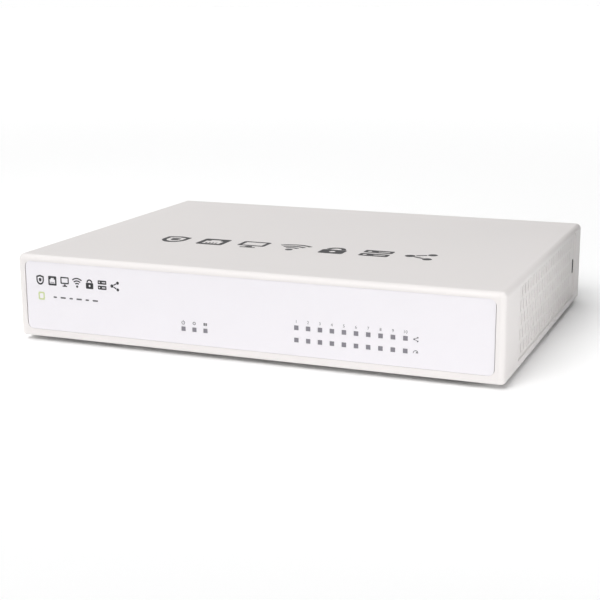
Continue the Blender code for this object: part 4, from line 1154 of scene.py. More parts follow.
wall = (holder_high.x - holder_low.x) / 2
bore = cell_radius + 0.0003
inside = cell_low.z - 0.0002
holder_profile = [(0.0, board_high.z), (wall, board_high.z), (wall, holder_high.z - 0.0003)]
holder_profile += [(wall - 0.0003, holder_high.z), (bore + 0.0002, holder_high.z)]
holder_profile += [(bore, holder_high.z - 0.0002), (bore, inside), (0.0, inside)]
holder_solid = turned(holder_profile, 56)
holder_solid.transform(at_cell)
cut_front = cell_y - FINGER_CUT_WIDTH / 2
cut_rear = cell_y + FINGER_CUT_WIDTH / 2
cut_floor = inside + 0.0006
holder_cuts = blocks(
    ((cell_x - wall - PAST, cut_front, cut_floor), (cell_x - bore + FINGER_CUT, cut_rear, 1.0)),
    ((cell_x + bore - FINGER_CUT, cut_front, cut_floor), (cell_x + wall + PAST, cut_rear, 1.0)),
)
holder = clad(shade(carve(put("clock_cell_holder", holder_solid), holder_cuts)), nylon)
seat(holder, "black_nylon", "cell_holder")

cell_profile = [(0.0, inside), (cell_radius - 0.0014, inside), (cell_radius - 0.0012, inside + 0.0002)]
cell_profile += [(cell_radius - 0.0010, cell_low.z + 0.0002)]
cell_profile += quarter(cell_radius - CELL_RIM, cell_low.z + CELL_RIM, CELL_RIM, -90, 4)
cell_profile += quarter(cell_radius - CELL_STEP, cell_high.z - CELL_STEP, CELL_STEP, 0, 6)
cell_profile += [(cell_radius - 0.0035, cell_high.z), (cell_radius - 0.0036, cell_high.z - 0.00008)]
cell_profile += [(0.0, cell_high.z - 0.00008)]
cell_solid = turned(cell_profile, 64)
cell_solid.transform(at_cell)
cell = clad(shade(put("clock_cell", cell_solid), 30), nickel)
seat(cell, "cell_steel", "coin_cell")

strap_path = [
    (wall + 0.0010, board_high.z),
    (wall + 0.0010, cell_high.z - 0.0002),
    (wall + 0.0007, cell_high.z + 0.0003),
    (wall - 0.0030, cell_high.z + 0.0004),
    (wall - 0.0065, cell_high.z + 0.00015),
    (wall - 0.0075, cell_high.z + 0.0005),
]
strap_solid = bent_strip(strap_path, STRAP_WIDTH, 0.00025)
strap_solid.transform(at_cell)
strap = clad(shade(put("clock_cell_strap", strap_solid), 20), nickel)
seat(strap, "tinned_steel")

# ---------------------------------------------------------------- power parts
# Two pressed ferrite inductors and three aluminium capacitors smooth the supply. Each capacitor is
# a drawn can, crimped over a black base, with its negative side printed on top.

CAN_CRIMP = 0.00035
CAN_EDGE = 0.0007
FERRITE_GREY = (0.070, 0.070, 0.074)
CAN_ALUMINIUM = (0.680, 0.685, 0.690)

coil_a, coil_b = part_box("power_inductor_2")
inductor_step = (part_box("power_inductor_1")[0].x - coil_a.x, 0.0, 0.0)
inductor_bm = block((coil_a.x, coil_a.y, board_high.z + 0.0002), coil_b)
soften(inductor_bm, edges_along(inductor_bm, 2), 0.0016, 4)
soften(inductor_bm, level_edges(inductor_bm, coil_b.z), 0.0004, 3)
ferrite = grained(
    "pressed_ferrite",
    FERRITE_GREY,
    bump=0.00002,
    grain_size=0.00018,
    drift_size=0.006,
    drift=0.2,
    speckle=0.35,
    roughness=0.72,
    gloss_drift=0.15,
)
inductor = shade(put("inductor", inductor_bm), 25)
inductors = in_rows("power_inductors", inductor, ferrite, (0, 0, 0), (2, 1), inductor_step)
seat(inductors, "inductor_ferrite", "power_inductor_1", "power_inductor_2")
terminal_x = (coil_a.x + coil_b.x) / 2
terminal_ends = []
for y, way in ((coil_a.y, -1), (coil_b.y, 1)):
    near, far = sorted((y - way * 0.0004, y + way * 0.0006))
    low = (terminal_x - 0.0020, near, board_high.z)
    terminal_ends.append((low, (terminal_x + 0.0020, far, board_high.z + 0.0009)))
terminal = put("terminal", blocks(*terminal_ends))
terminals = in_rows("inductor_terminals", terminal, solder, (0, 0, 0), (2, 1), inductor_step)
seat(terminals, "tinned_steel")

can_low, can_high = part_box("bulk_capacitor_3")
can_x, can_y = middle_of("bulk_capacitor_3").xy
can_radius = (can_high.x - can_low.x) / 2
can_step = (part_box("bulk_capacitor_2")[0].x - can_low.x, 0.0, 0.0)
base_top = board_high.z + 0.0012
crimp = base_top + 0.0010
can_profile = [(0.0, base_top), (can_radius, base_top), (can_radius, crimp - 0.0004)]
can_profile += [(can_radius - CAN_CRIMP, crimp), (can_radius, crimp + 0.0004)]
can_profile += quarter(can_radius - CAN_EDGE, can_high.z - CAN_EDGE, CAN_EDGE, 0, 5)
can_profile += [(can_radius - 0.0010, can_high.z - 0.0001), (0.0, can_high.z - 0.0001)]
at_can = Matrix.Translation((can_x, can_y, 0.0))
can_solid = turned(can_profile, 48)
can_solid.transform(at_can)
aluminium = metal("drawn_aluminium", CAN_ALUMINIUM, (500, 500, 4000), streak=0.12, roughness=0.27, scuff=0.25)
cans = in_rows("capacitor_cans", shade(put("can", can_solid), 30), aluminium, (0, 0, 0), (3, 1), can_step)
seat(cans, "capacitor_can", "bulk_capacitor_1", "bulk_capacitor_2", "bulk_capacitor_3")
base_outline = rounded_outline(2 * can_radius + 0.0003, 2 * can_radius + 0.0003, 0.0012, 1)
base_levels = (board_high.z, base_top - 0.00005)
base_rings = [[(can_x + x, can_y + y, z) for x, y in base_outline] for z in base_levels]
bases = in_rows("capacitor_bases", put("base", loft(*base_rings)), nylon, (0, 0, 0), (3, 1), can_step)
seat(bases, "black_nylon")
polarity = [band(can_x * 1000, can_y * 1000, 0.02, can_radius * 1000 - 1.0, 130, 230)]
polarity_plane = Matrix.Translation((0.0, 0.0, can_high.z - 0.00009))
polarity_mark = inked("mark", polarity, polarity_plane, dark_ink)
polarity_marks = in_rows("capacitor_marks", polarity_mark, dark_ink, (0, 0, 0), (3, 1), can_step)
seat(polarity_marks, "capacitor_can")

# ---------------------------------------------------------------- heatsink
# A dark anodised extrusion with twelve fins lies on a soft grey pad over the processor. Two nylon
# push pins with split barbs go through its base and the board and hold it down.

BARB = 0.0006
ANODISED = (0.060, 0.062, 0.068)
PAD_GREY = (0.170, 0.190, 0.220)
NYLON_NATURAL = (0.560, 0.545, 0.500)

anodised = metal("anodised_aluminium", ANODISED, (2500, 60, 2500), 0.00002, 0.75, streak=0.5, roughness=0.42)
finish_node("heatsink", anodised)
soft_pad = grained("thermal_pad", PAD_GREY, bump=0.00004, grain_size=0.0005, speckle=0.15, roughness=0.85)
finish_node("thermal_pad", soft_pad)

pin_low, pin_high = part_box("heatsink_pin_front")
pin_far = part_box("heatsink_pin_rear")[0]
pin_x, pin_y = middle_of("heatsink_pin_front").xy
pin_head = (pin_high.x - pin_low.x) / 2
pin_shank = 0.0012
head_low = pin_high.z - 0.0020
pin_profile = [(0.0, pin_low.z), (pin_shank * 0.5, pin_low.z), (pin_shank + BARB / 2, board_low.z - 0.0001)]
pin_profile += [(pin_shank, board_low.z), (pin_shank, head_low - 0.0003)]
pin_profile += [(pin_head - 0.0002, head_low - 0.0003), (pin_head, head_low), (pin_head, pin_high.z - 0.0004)]
pin_profile += [(pin_head - 0.0004, pin_high.z), (0.0009, pin_high.z), (0.0007, pin_high.z - 0.0012)]
pin_profile += [(0.0, pin_high.z - 0.0012)]
natural_nylon = grained("natural_nylon", NYLON_NATURAL, bump=0.00001, speckle=0.05, roughness=0.42)
split = blocks(((-0.0002, -1.0, pin_low.z - PAST), (0.0002, 1.0, board_low.z + 0.0010)))
push_pin = shade(carve(put("push_pin", turned(pin_profile, 36)), split))
pin_step = (pin_far.x - pin_low.x, pin_far.y - pin_low.y, 0.0)
pins = in_rows("heatsink_push_pins", push_pin, natural_nylon, (pin_x, pin_y, 0.0), (2, 1), pin_step)
seat(pins, "white_nylon", "heatsink_pin_front", "heatsink_pin_rear")

# ---------------------------------------------------------------- light guides
# Three combs of smoked clear plastic carry the status lights from the board to the front panel.
# Each stands on two legs over a row of small white light chips.

GUIDE_EDGE = 0.00012
LIGHT_CHIP = (0.0016, 0.0010, 0.0006)
SMOKED_GREY = (0.180, 0.172, 0.196)
LIGHT_WHITE = (0.700, 0.690, 0.620)
WINDOW_PITCH = 0.00508
LOWER_ROW_Z = 0.0121
ROW_RISE = 0.0051
STATUS_X = -0.0227
MATRIX_X = 0.0459
TIP = 0.0018
GUIDE_BAR = 0.0030
GUIDE_LEG = 0.0020


def row_places(count, middle, z):
    return [(middle + (i - (count - 1) / 2) * WINDOW_PITCH, z) for i in range(count)]


guide_rows = {
    "status_light_guide": row_places(3, STATUS_X, LOWER_ROW_Z),
    "lower_port_light_guide": row_places(10, MATRIX_X, LOWER_ROW_Z),
    "upper_port_light_guide": row_places(10, MATRIX_X, LOWER_ROW_Z + ROW_RISE),
}


def smoked_material():
    """Smoked clear plastic: grey and cloudy, under a clear gloss."""
    material = grained(
        "smoked_clear",
        SMOKED_GREY,
        bump=0.00001,
        grain_size=0.0005,
        drift_size=0.004,
        drift=0.25,
        speckle=0.15,
        roughness=0.22,
        gloss_drift=0.10,
    )
    material.node_tree.nodes["Principled BSDF"].inputs["Coat Weight"].default_value = 0.5
    return material


def light_guide(node, places):
    """A bar with square fingers in front and a leg at each end, all its edges softened."""
    low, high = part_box(node)
    z = places[0][1]
    half = TIP / 2
    bar_front = high.y - GUIDE_BAR
    guide = put(node + "_moulding", block((low.x, bar_front, z - half), (high.x, high.y, z + half)))
    legs = blocks(
        ((low.x, bar_front, board_high.z), (low.x + GUIDE_LEG, high.y, z)),
        ((high.x - GUIDE_LEG, bar_front, board_high.z), (high.x, high.y, z)),
    )
    back = bar_front + PAST
    fingers = blocks(*[((x - half, low.y, z - half), (x + half, back, z + half)) for x, z in places])
    carve(guide, fingers, operation="UNION")
    carve(guide, legs, operation="UNION")
    round_over = guide.modifiers.new("edges", "BEVEL")
    round_over.width = GUIDE_EDGE
    round_over.segments = 2
    settle(guide)
    return shade(guide, 40)


smoked = smoked_material()
light_white = grained("light_chip", LIGHT_WHITE, bump=0.000004, speckle=0.04, roughness=0.30)
light_chips = []
for node, places in guide_rows.items():
    seat(clad(light_guide(node, places), smoked), "light_guide", node)
    chip_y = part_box(node)[1].y - GUIDE_BAR / 2
    width, depth, height = LIGHT_CHIP
    chip = block((-width / 2, -depth / 2, 0.0), (width / 2, depth / 2, height))
    soften(chip, level_edges(chip, height), 0.00015, 1)
    first = (places[0][0], chip_y, board_high.z)
    step = (WINDOW_PITCH, 0.0, 0.0)
    light_chips.append(in_rows("chips", put("chip", chip), light_white, first, (len(places), 1), step))
seat(joined("status_light_chips", light_chips, light_white), "white_nylon")

# ---------------------------------------------------------------- network and console sockets
# Two blocks of five network sockets and a single console socket. Each is black nylon with eight
# gold spring wires to a port, in a folded tinned-steel shield with a window for each port.

PORT_PITCH = 0.0136
SOCKET_WIDTH = 0.0117
SOCKET_HEIGHT = 0.0068
SOCKET_DEPTH = 0.0130
LATCH_WIDTH = 0.0052
LATCH_HEIGHT = 0.0020
SOCKET_FLOOR = 0.0010
MOUTH_EDGE = 0.0004
SHIELD_SHEET = 0.00035
SHIELD_BEND = 0.0004
CONTACT_PITCH = 0.00102
CONTACT_WIDTH = 0.00036
SPRING_TAB = (0.0020, 0.0034, 0.00035)
TIN_PLATE = (0.600, 0.600, 0.600)

tin = metal("tinned_steel", TIN_PLATE, (120, 2500, 2500), streak=0.14, roughness=0.26, scuff=0.35)
port_rows = {"left_port": 5, "right_port": 5, "console": 1}
port_places = []


def flared(low_x, high_x, low_z, high_z, inner, mouth):
    """A cutter for a socket whose mouth opens out at the face of its block."""
    rings = []
    for y, growth in ((inner, 0.0), (mouth - MOUTH_EDGE, 0.0), (mouth + PAST, MOUTH_EDGE + PAST)):
        rings.append([
            (low_x - growth, y, low_z - growth),
            (high_x + growth, y, low_z - growth),
            (high_x + growth, y, high_z + growth),
            (low_x - growth, y, high_z + growth),
        ])
    return loft(*rings)


def nylon_block(name, places):
    low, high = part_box(name)
    floor = low.z + SOCKET_FLOOR
    step = floor + LATCH_HEIGHT
    inner = high.y - SOCKET_DEPTH
    body = block((low.x, low.y, board_high.z), high)
    soften(body, edges_along(body, 1), 0.0003, 2)
    made = put(name + "_moulding", body)
    sockets, notches = [], []
    for x in places:
        half = SOCKET_WIDTH / 2
        sockets.append(flared(x - half, x + half, step, step + SOCKET_HEIGHT, inner, high.y))
        half = LATCH_WIDTH / 2
        notches.append(flared(x - half, x + half, floor, step + PAST, inner + PAST, high.y))
    carve(made, gathered(*sockets))
    carve(made, gathered(*notches))
    return clad(shade(made), nylon)


def folded_shield(name, places):
    low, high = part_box(name)
    body = block((low.x, low.y, board_high.z), high)
    soften(body, [e for e in edges_along(body, 1) if e.verts[0].co.z > low.z + PAST], SHIELD_BEND, 4)
    rear = [e for e in body.edges if all(v.co.y > high.y - 1e-7 for v in e.verts)]
    soften(body, [e for e in rear if not all(v.co.z < low.z for v in e.verts)], SHIELD_BEND / 2, 3)
    made = put(name + "_sheet", body)
    sheet = SHIELD_SHEET
    hollow_low = (low.x + sheet, low.y + sheet, board_high.z - PAST)
    hollow = block(hollow_low, (high.x - sheet, high.y - sheet, high.z - sheet))
    floor = low.z + SOCKET_FLOOR
    top = floor + LATCH_HEIGHT + SOCKET_HEIGHT
    half = SOCKET_WIDTH / 2
    near, far = high.y - sheet - PAST / 10, high.y + PAST
    openings = [((x - half, near, floor), (x + half, far, top)) for x in places]
    window = blocks(*openings)
    soften(window, edges_along(window, 1), 0.0003, 2)
    carve(made, hollow, window)
    return clad(shade(made), tin)


def contact_wire():
    """One spring wire: forward under the roof, over a round nose and back down into the socket."""
    path = [(-0.0118, 0.0061), (-0.0045, 0.0066), (-0.0022, 0.0065), (-0.0016, 0.0061), (-0.0019, 0.0055)]
    path += [(-0.0050, 0.0046), (-0.0095, 0.0033), (-0.0108, 0.0031)]
    return bent_strip(path, CONTACT_WIDTH, 0.00028)


wires, tabs = [], []
for prefix, ports in port_rows.items():
    block_low, block_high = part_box(prefix + "_block")
    middle = (block_low.x + block_high.x) / 2
    places = [middle + (i - (ports - 1) / 2) * PORT_PITCH for i in range(ports)]
    port_places += places
    seat(nylon_block(prefix + "_block", places), "black_nylon", prefix + "_block")
    seat(folded_shield(prefix + "_shield", places), "tinned_steel", prefix + "_shield")
    first = (places[0] - 3.5 * CONTACT_PITCH, block_high.y, block_low.z + SOCKET_FLOOR + LATCH_HEIGHT)
    steps = ((CONTACT_PITCH, 0.0, 0.0), (PORT_PITCH, 0.0, 0.0))
    wire = shade(put("wire", contact_wire()), 25)
    wires.append(in_rows("wires", wire, gold, first, (8, ports), *steps))
    width, depth, rise = SPRING_TAB
    shield_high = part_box(prefix + "_shield")[1]
    tab_path = [(-depth - 0.0012, -0.0001), (-depth * 0.6, rise), (-depth * 0.4, rise), (0.0, -0.0001)]
    tab = put("tab", bent_strip(tab_path, width, 0.0002))
    first = (places[0] - PORT_PITCH / 4, shield_high.y - 0.0016, shield_high.z)
    steps = ((PORT_PITCH / 2, 0.0, 0.0), (PORT_PITCH, 0.0, 0.0))
    tabs.append(in_rows("tabs", tab, tin, first, (2, ports), *steps))
seat(joined("socket_contact_wires", wires, gold), "plated_pin")
seat(joined("shield_spring_tabs", tabs, tin), "tinned_steel")

# ---------------------------------------------------------------- USB socket
# A rolled shell of tinned steel with a lip turned out at its mouth, two sprung fingers above and
# two below, and a white nylon tongue with four gold strips under it.

SHELL_SHEET = 0.00035
SHELL_CORNER = 0.0007
SHELL_LIP = 0.00025
FINGER = (0.0024, 0.0055)
STRIP_PITCH = 0.0022
STRIP_WIDTH = 0.0011

shell_low, shell_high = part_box("usb_shell")
shell_x, shell_z = middle_of("usb_shell").xz
shell_width, shell_height = shell_high.x - shell_low.x, shell_high.z - shell_low.z


def shell_ring(y, growth):
    outline = rounded_outline(shell_width + 2 * growth, shell_height + 2 * growth, SHELL_CORNER + growth, 5)
    return [(shell_x + a, y, shell_z + b) for a, b in outline]


def usb_shell():
    lip = SHELL_LIP
    outer = loft(
        shell_ring(shell_low.y, 0.0),
        shell_ring(shell_high.y - 2 * lip, 0.0),
        shell_ring(shell_high.y - lip, lip * 0.5),
        shell_ring(shell_high.y, lip),
    )
    sheet = SHELL_SHEET
    inner = loft(
        shell_ring(shell_low.y + sheet, -sheet),
        shell_ring(shell_high.y - 2 * lip, -sheet),
        shell_ring(shell_high.y - lip, lip * 0.5 - sheet),
        shell_ring(shell_high.y + lip, 1.5 * lip - sheet),
    )
    made = carve(put("usb_shell_sheet", outer), inner)
    width, length = FINGER
    slots = []
    for side in (-1, 1):
        x = shell_x + side * shell_width / 4
        for start, end in ((x - width / 2 - 0.0003, x - width / 2), (x + width / 2, x + width / 2 + 0.0003)):
            slots.append(((start, shell_high.y - 0.0012 - length, -1.0), (end, shell_high.y - 0.0012, 1.0)))
        tip = shell_high.y - 0.0012
        slots.append(((x - width / 2, tip - 0.0003, -1.0), (x + width / 2, tip + 0.0001, 1.0)))
    for slot in slots:
        carve(made, blocks(slot))
    return shade(made)


usb_case = clad(usb_shell(), tin)
seat(usb_case, "tinned_steel", "usb_shell")
finish_node("usb_tongue", natural_nylon)
tongue_low, tongue_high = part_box("usb_tongue")
blade_low = tongue_high.z - 0.0001 - 0.0018 - 0.00065
strip_path = [(tongue_low.y + 0.0032, blade_low), (tongue_high.y - 0.0010, blade_low)]
strip_path += [(tongue_high.y - 0.0006, blade_low + 0.0001)]
strip = put("strip", bent_strip(strip_path, STRIP_WIDTH, 0.00016))
first = (shell_x - 1.5 * STRIP_PITCH, 0.0, 0.0)
strips = in_rows("usb_contact_strips", strip, gold, first, (4, 1), (STRIP_PITCH, 0.0, 0.0))
seat(strips, "plated_pin")

# ---------------------------------------------------------------- power socket
# A black nylon body behind the rear panel, with a round nose that fills the panel's hole, a deep
# bore and a nickel-plated centre pin.

NOSE_RADIUS = 0.0042
NOSE_EDGE = 0.0004
BORE_RADIUS = 0.0032
BORE_DEPTH = 0.0100
PIN_RADIUS = 0.00105

power_low, power_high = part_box("power_socket")
power_pin_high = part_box("power_pin")[1]
power_x, power_z = middle_of("power_pin").xz
body_rear = rear_inner - 0.0003
lay_back = Matrix.Rotation(-math.pi / 2, 4, "X")


def along_power_axis(profile, sides=56):
    """A turned solid whose profile heights are distances in front of the socket's face."""
    bm = turned(profile, sides)
    bm.transform(Matrix.Translation((power_x, power_high.y, power_z)) @ lay_back)
    return bm


def power_body():
    box = block((power_low.x, power_low.y, board_high.z), (power_high.x, body_rear, power_high.z))
    upper = [e for e in box.edges if max(v.co.z for v in e.verts) > power_low.z]
    soften(box, upper, 0.0004, 3)
    made = put("power_socket_moulding", box)
    nose = [(0.0, body_rear - power_high.y - PAST), (NOSE_RADIUS, body_rear - power_high.y - PAST)]
    nose += quarter(NOSE_RADIUS - NOSE_EDGE, -NOSE_EDGE, NOSE_EDGE, 0, 4) + [(0.0, 0.0)]
    carve(made, along_power_axis(nose), operation="UNION")
    hole = [(0.0, -BORE_DEPTH), (BORE_RADIUS, -BORE_DEPTH), (BORE_RADIUS, -0.0004)]
    hole += [(BORE_RADIUS + 0.0004, 0.0), (BORE_RADIUS + 0.0004, PAST), (0.0, PAST)]
    return carve(made, along_power_axis(hole))


seat(clad(shade(power_body()), nylon), "black_nylon", "power_socket")
pin_end = power_pin_high.y - power_high.y
pin_profile = [(0.0, -BORE_DEPTH), (PIN_RADIUS, -BORE_DEPTH), (PIN_RADIUS, pin_end - PIN_RADIUS)]
pin_profile += quarter(0.0, pin_end - PIN_RADIUS, PIN_RADIUS, 0, 7)[1:]
centre_pin = clad(shade(put("power_centre_pin", along_power_axis(pin_profile, 36))), nickel)
seat(centre_pin, "plated_pin", "power_pin")

# ---------------------------------------------------------------- reset switch
# A sprung push button in a small black housing, set back behind a pinhole in the rear panel, so
# that it is pressed with a straightened clip.

BUTTON_EDGE = 0.0004
BUTTON_DISH = 0.00015
BUTTON_DARK = (0.045, 0.045, 0.050)

finish_node("reset_switch_body", nylon)
button_low, button_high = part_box("reset_button")
button_x, button_z = middle_of("reset_button").xz
button_radius = (button_high.x - button_low.x) / 2
button_length = button_high.y - button_low.y
button_profile = [(0.0, 0.0), (button_radius - 0.0001, 0.0), (button_radius, 0.0001)]
button_profile += quarter(button_radius - BUTTON_EDGE, button_length - BUTTON_EDGE, BUTTON_EDGE, 0, 5)
button_profile += [(button_radius * 0.4, button_length - BUTTON_DISH / 2), (0.0, button_length - BUTTON_DISH)]
button_solid = turned(button_profile, 40)
button_solid.transform(Matrix.Translation((button_x, button_low.y, button_z)) @ lay_back)
button_plastic = grained("button_plastic", BUTTON_DARK, bump=0.00001, speckle=0.15, roughness=0.38)
button = clad(shade(put("reset_button_cap", button_solid)), button_plastic)
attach(button, "reset_button")
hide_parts("reset_button")

# ---------------------------------------------------------------- top cover
# The cover is one white moulding with a fine spark-eroded grain: front, top and both sides in one,
# with a recess for the front panel, a shallow vented recess on each side and four screw posts inside.

COVER_WALL = 0.0022
FRONT_WALL = 0.0030
COVER_EDGE = 0.0024
COVER_LOWER_EDGE = 0.0005
PANEL_SIDE_MARGIN = 0.00365
PANEL_TOP_MARGIN = 0.0027
PANEL_LOWER_MARGIN = 0.0031
PANEL_RECESS_CORNER = 0.0029
PANEL_RECESS_DEPTH = 0.00105
SIDE_RECESS = 0.0006
RECESS_SLOPE = 0.0004
RECESS_FRONT = 0.0245
RECESS_REAR = 0.0125
RECESS_LOWER = 0.0032
RECESS_UPPER = 0.0023
VENT_WIDTH = 0.0018
VENT_HEIGHT = 0.0043
VENT_CORNER = 0.0005
VENT_RIM = 0.0003
VENT_PITCH = 0.0053
VENT_ROW_PITCH = 0.0058
VENT_COLUMNS = 22
VENT_ROWS = 5
VENT_FIRST = (-0.0533, 0.0093)
TIP_HOLE = 0.0024
LOCK_SLOT = (0.0030, 0.0070)
LOCK_SLOT_CORNER = 0.0011
LOCK_SHADE_LINER = 0.0003
POST_RADIUS = 0.0027
PILOT_RADIUS = 0.0014
PILOT_DEPTH = 0.0090
COVER_WHITE = (0.733, 0.704, 0.694)


def facing_side(outline, x, y=0.0, z=0.0):
    """Stands an outline on a side wall: its width runs along Y and its height along Z."""
    return [(x, y + a, z + b) for a, b in outline]


def facing_front(outline, y, x=0.0, z=0.0):
    return [(x + a, y, z + b) for a, b in outline]


cover_low, cover_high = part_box("top_cover")
window_places = [place for places in guide_rows.values() for place in places]


def cover_blank():
    bm = block(cover_low, cover_high)
    middle = (cover_low.z + cover_high.z) / 2
    upper = []
    for edge in bm.edges:
        behind = all(v.co.y > 0 for v in edge.verts)
        below = all(v.co.z < middle for v in edge.verts)
        if not behind and not below:
            upper.append(edge)
    soften(bm, upper, COVER_EDGE, 9)
    lower = [e for e in level_edges(bm, cover_low.z) if any(v.co.y < 0 for v in e.verts)]
    soften(bm, lower, COVER_LOWER_EDGE, 4)
    return put("top_cover_moulding", bm)


def cover_posts():
    """Posts that the four cover screws are driven into, and their pilot holes."""
    posts = bmesh.new()
    pilots = bmesh.new()
    top_z = cover_high.z - COVER_WALL / 2
    for number in range(1, 5):
        x, y = middle_of(f"cover_screw_{number}").xy
        add_rod(posts, (x, y, (tray_top + top_z) / 2), POST_RADIUS, top_z - tray_top)
        add_rod(pilots, (x, y, tray_top), PILOT_RADIUS, 2 * PILOT_DEPTH, sides=24)
    return posts, pilots


def panel_recess():
    half = cover_high.x - PANEL_SIDE_MARGIN
    low = cover_low.z + PANEL_LOWER_MARGIN
    high = cover_high.z - PANEL_TOP_MARGIN
    outline = rounded_outline(2 * half, high - low, PANEL_RECESS_CORNER, 8)
    middle = (low + high) / 2
    depths = (cover_low.y - PAST, cover_low.y + PANEL_RECESS_DEPTH)
    return loft(*[facing_front(outline, y, z=middle) for y in depths])


def window_tools(size, front, back):
    half = size / 2
    return blocks(*[((x - half, front, z - half), (x + half, back, z + half)) for x, z in window_places])


def side_recess(side):
    """A shallow recess with sloping edges, so that its rim catches the light."""
    front = cover_low.y + RECESS_FRONT
    rear = cover_high.y - RECESS_REAR
    low = cover_low.z + RECESS_LOWER
    high = cover_high.z - RECESS_UPPER
    y = (front + rear) / 2
    z = (low + high) / 2
    rings = []
    for depth, growth in ((SIDE_RECESS, 0.0), (0.0, RECESS_SLOPE), (-PAST, RECESS_SLOPE * 2)):
        outline = rounded_outline(rear - front + 2 * growth, high - low + 2 * growth, 0.0010 + growth)
        rings.append(facing_side(outline, side * (cover_high.x - depth), y, z))
    return loft(*rings)


def vent_tool(side):
    """One vent's cutter: a slot with round corners whose mouth flares into a broken edge."""
    floor = cover_high.x - SIDE_RECESS
    stations = [(cover_high.x - COVER_WALL - PAST / 2, 0.0), (floor - VENT_RIM, 0.0)]
    stations += [(floor, VENT_RIM), (floor + PAST, VENT_RIM + PAST)]
    rings = []
    for x, growth in stations:
        outline = rounded_outline(VENT_WIDTH + 2 * growth, VENT_HEIGHT + 2 * growth, VENT_CORNER + growth, 3)
        rings.append(facing_side(outline, side * x))
    return loft(*rings)


def vent_field(side):
    cutters = in_rows(
        "vent_cutters",
        put("vent_cutter", vent_tool(side)),
        None,
        first=(0.0, *VENT_FIRST),
        counts=(VENT_COLUMNS, VENT_ROWS),
        column_step=(0.0, VENT_PITCH, 0.0),
        row_step=(0.0, 0.0, VENT_ROW_PITCH),
        stagger=(0.0, VENT_PITCH / 2, 0.0),
    )
    return lifted(cutters)


def lock_slot(inset=0.0, inner=PAST, outer=PAST):
    """The lock slot's shape from beyond the wall's inner face to beyond the recess floor."""
    width, height = LOCK_SLOT
    outline = rounded_outline(width - 2 * inset, height - 2 * inset, LOCK_SLOT_CORNER - inset)
    stations = (cover_high.x - COVER_WALL - inner, cover_high.x - SIDE_RECESS + outer)
    return loft(*[facing_side(outline, x, LOCK_Y, LOCK_Z) for x in stations])


cover = cover_blank()
cavity_low = (cover_low.x + COVER_WALL, cover_low.y + FRONT_WALL, cover_low.z - PAST)
cavity_high = (cover_high.x - COVER_WALL, cover_high.y + PAST, cover_high.z - COVER_WALL)
carve(cover, block(cavity_low, cavity_high))
post_solids, pilot_holes = cover_posts()
carve(cover, post_solids, operation="UNION")
carve(cover, pilot_holes, panel_recess(), side_recess(-1), side_recess(1))
carve(cover, window_tools(TIP_HOLE, cover_low.y, cover_low.y + FRONT_WALL + PAST))
carve(cover, vent_field(-1), vent_field(1), lock_slot())
white_moulding = grained(
    "white_moulding",
    COVER_WHITE,
    bump=0.00003,
    grain_size=0.00035,
    drift_size=0.09,
    drift=0.03,
    speckle=0.025,
    roughness=0.46,
    gloss_drift=0.10,
)
clad(shade(cover), white_moulding)
seat(cover, "white_moulding", "top_cover")
# A thin black nylon liner fills the lock slot's walls. It is painted shade: a dark sleeve that stands in for
# the shade deep in the slot.
slot_shade_liner = carve(put("lock_slot_liner", lock_slot(0.0, 0.0, 0.0)), lock_slot(LOCK_SHADE_LINER))
seat(clad(shade(slot_shade_liner), nylon), "black_nylon")

# ---------------------------------------------------------------- front panel
# A flat plate of glossy white plastic, glued into the cover's recess, with a square window for each
# status light.

PANEL_THICKNESS = 0.0008
PANEL_CORNER = 0.0025
PANEL_EDGE = 0.0001
END_SEAM = 0.00003
WINDOW = 0.0019
WINDOW_EDGE = 0.00005
PANEL_WHITE = (0.742, 0.722, 0.752)

panel_low, panel_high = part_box("front_panel")


def panel_blank():
    """The plate with its round corners and a small round along its front edge."""
    half = panel_high.x
    low = cover_low.z + PANEL_LOWER_MARGIN + END_SEAM
    high = cover_high.z - PANEL_TOP_MARGIN - END_SEAM
    rings = []
    shoulder = PANEL_EDGE * 0.3
    for depth, inset in ((PANEL_THICKNESS, 0.0), (PANEL_EDGE, 0.0), (shoulder, shoulder), (0.0, PANEL_EDGE)):
        outline = rounded_outline(2 * (half - inset), high - low - 2 * inset, PANEL_CORNER - inset, 10)
        rings.append(facing_front(outline, panel_low.y + depth, z=(low + high) / 2))
    return put("gloss_front_panel", loft(*rings))


def window_mouths():
    """Cutters that break the front edge of each window."""
    mouths = []
    for x, z in window_places:
        rings = []
        for y, growth in ((panel_low.y - WINDOW_EDGE, 2 * WINDOW_EDGE), (panel_low.y + WINDOW_EDGE, 0.0)):
            half = WINDOW / 2 + growth
            corners = ((-half, -half), (half, -half), (half, half), (-half, half))
            rings.append(facing_front(corners, y, x, z))
        mouths.append(loft(*rings))
    return gathered(*mouths)


panel = panel_blank()
carve(panel, window_tools(WINDOW, panel_low.y - PAST, panel_high.y + PAST), window_mouths())
gloss_white = grained(
    "white_gloss_plate",
    PANEL_WHITE,
    bump=0.000004,
    grain_size=0.0012,
    drift_size=0.08,
    drift=0.015,
    speckle=0.008,
    roughness=0.22,
    gloss_drift=0.06,
)
clad(shade(panel), gloss_white)
seat(panel, "white_gloss_panel", "front_panel")

# ---------------------------------------------------------------- printed marks
# The marks are pad-printed in charcoal and grey ink, a film a few hundredths of a millimetre thick.
# They are plain service symbols and figures: large on top, small on the front, and by each socket.
# Their places and sizes are in millimetres.

TOP_STRIP = (-0.5, -25.3)
FRONT_STRIP = (-78.4, 27.7)
FRONT_SCALE = 0.317
SYMBOL_PITCH = 19.5
BADGE_PLACE = (-96.6, 20.6)
DASH_PLACE = (-89.7, 20.5)
DASH_PITCH = 4.0
STATUS_SCALE = 0.155
ROW_MARK_SCALE = 0.16
FIGURE_HEIGHT = 1.25
REAR_FIGURE_HEIGHT = 2.1
REAR_MARKS_Z = 25.2
POWER_MARK_Z = 24.1
INK_GREEN = (0.520, 0.590, 0.300)


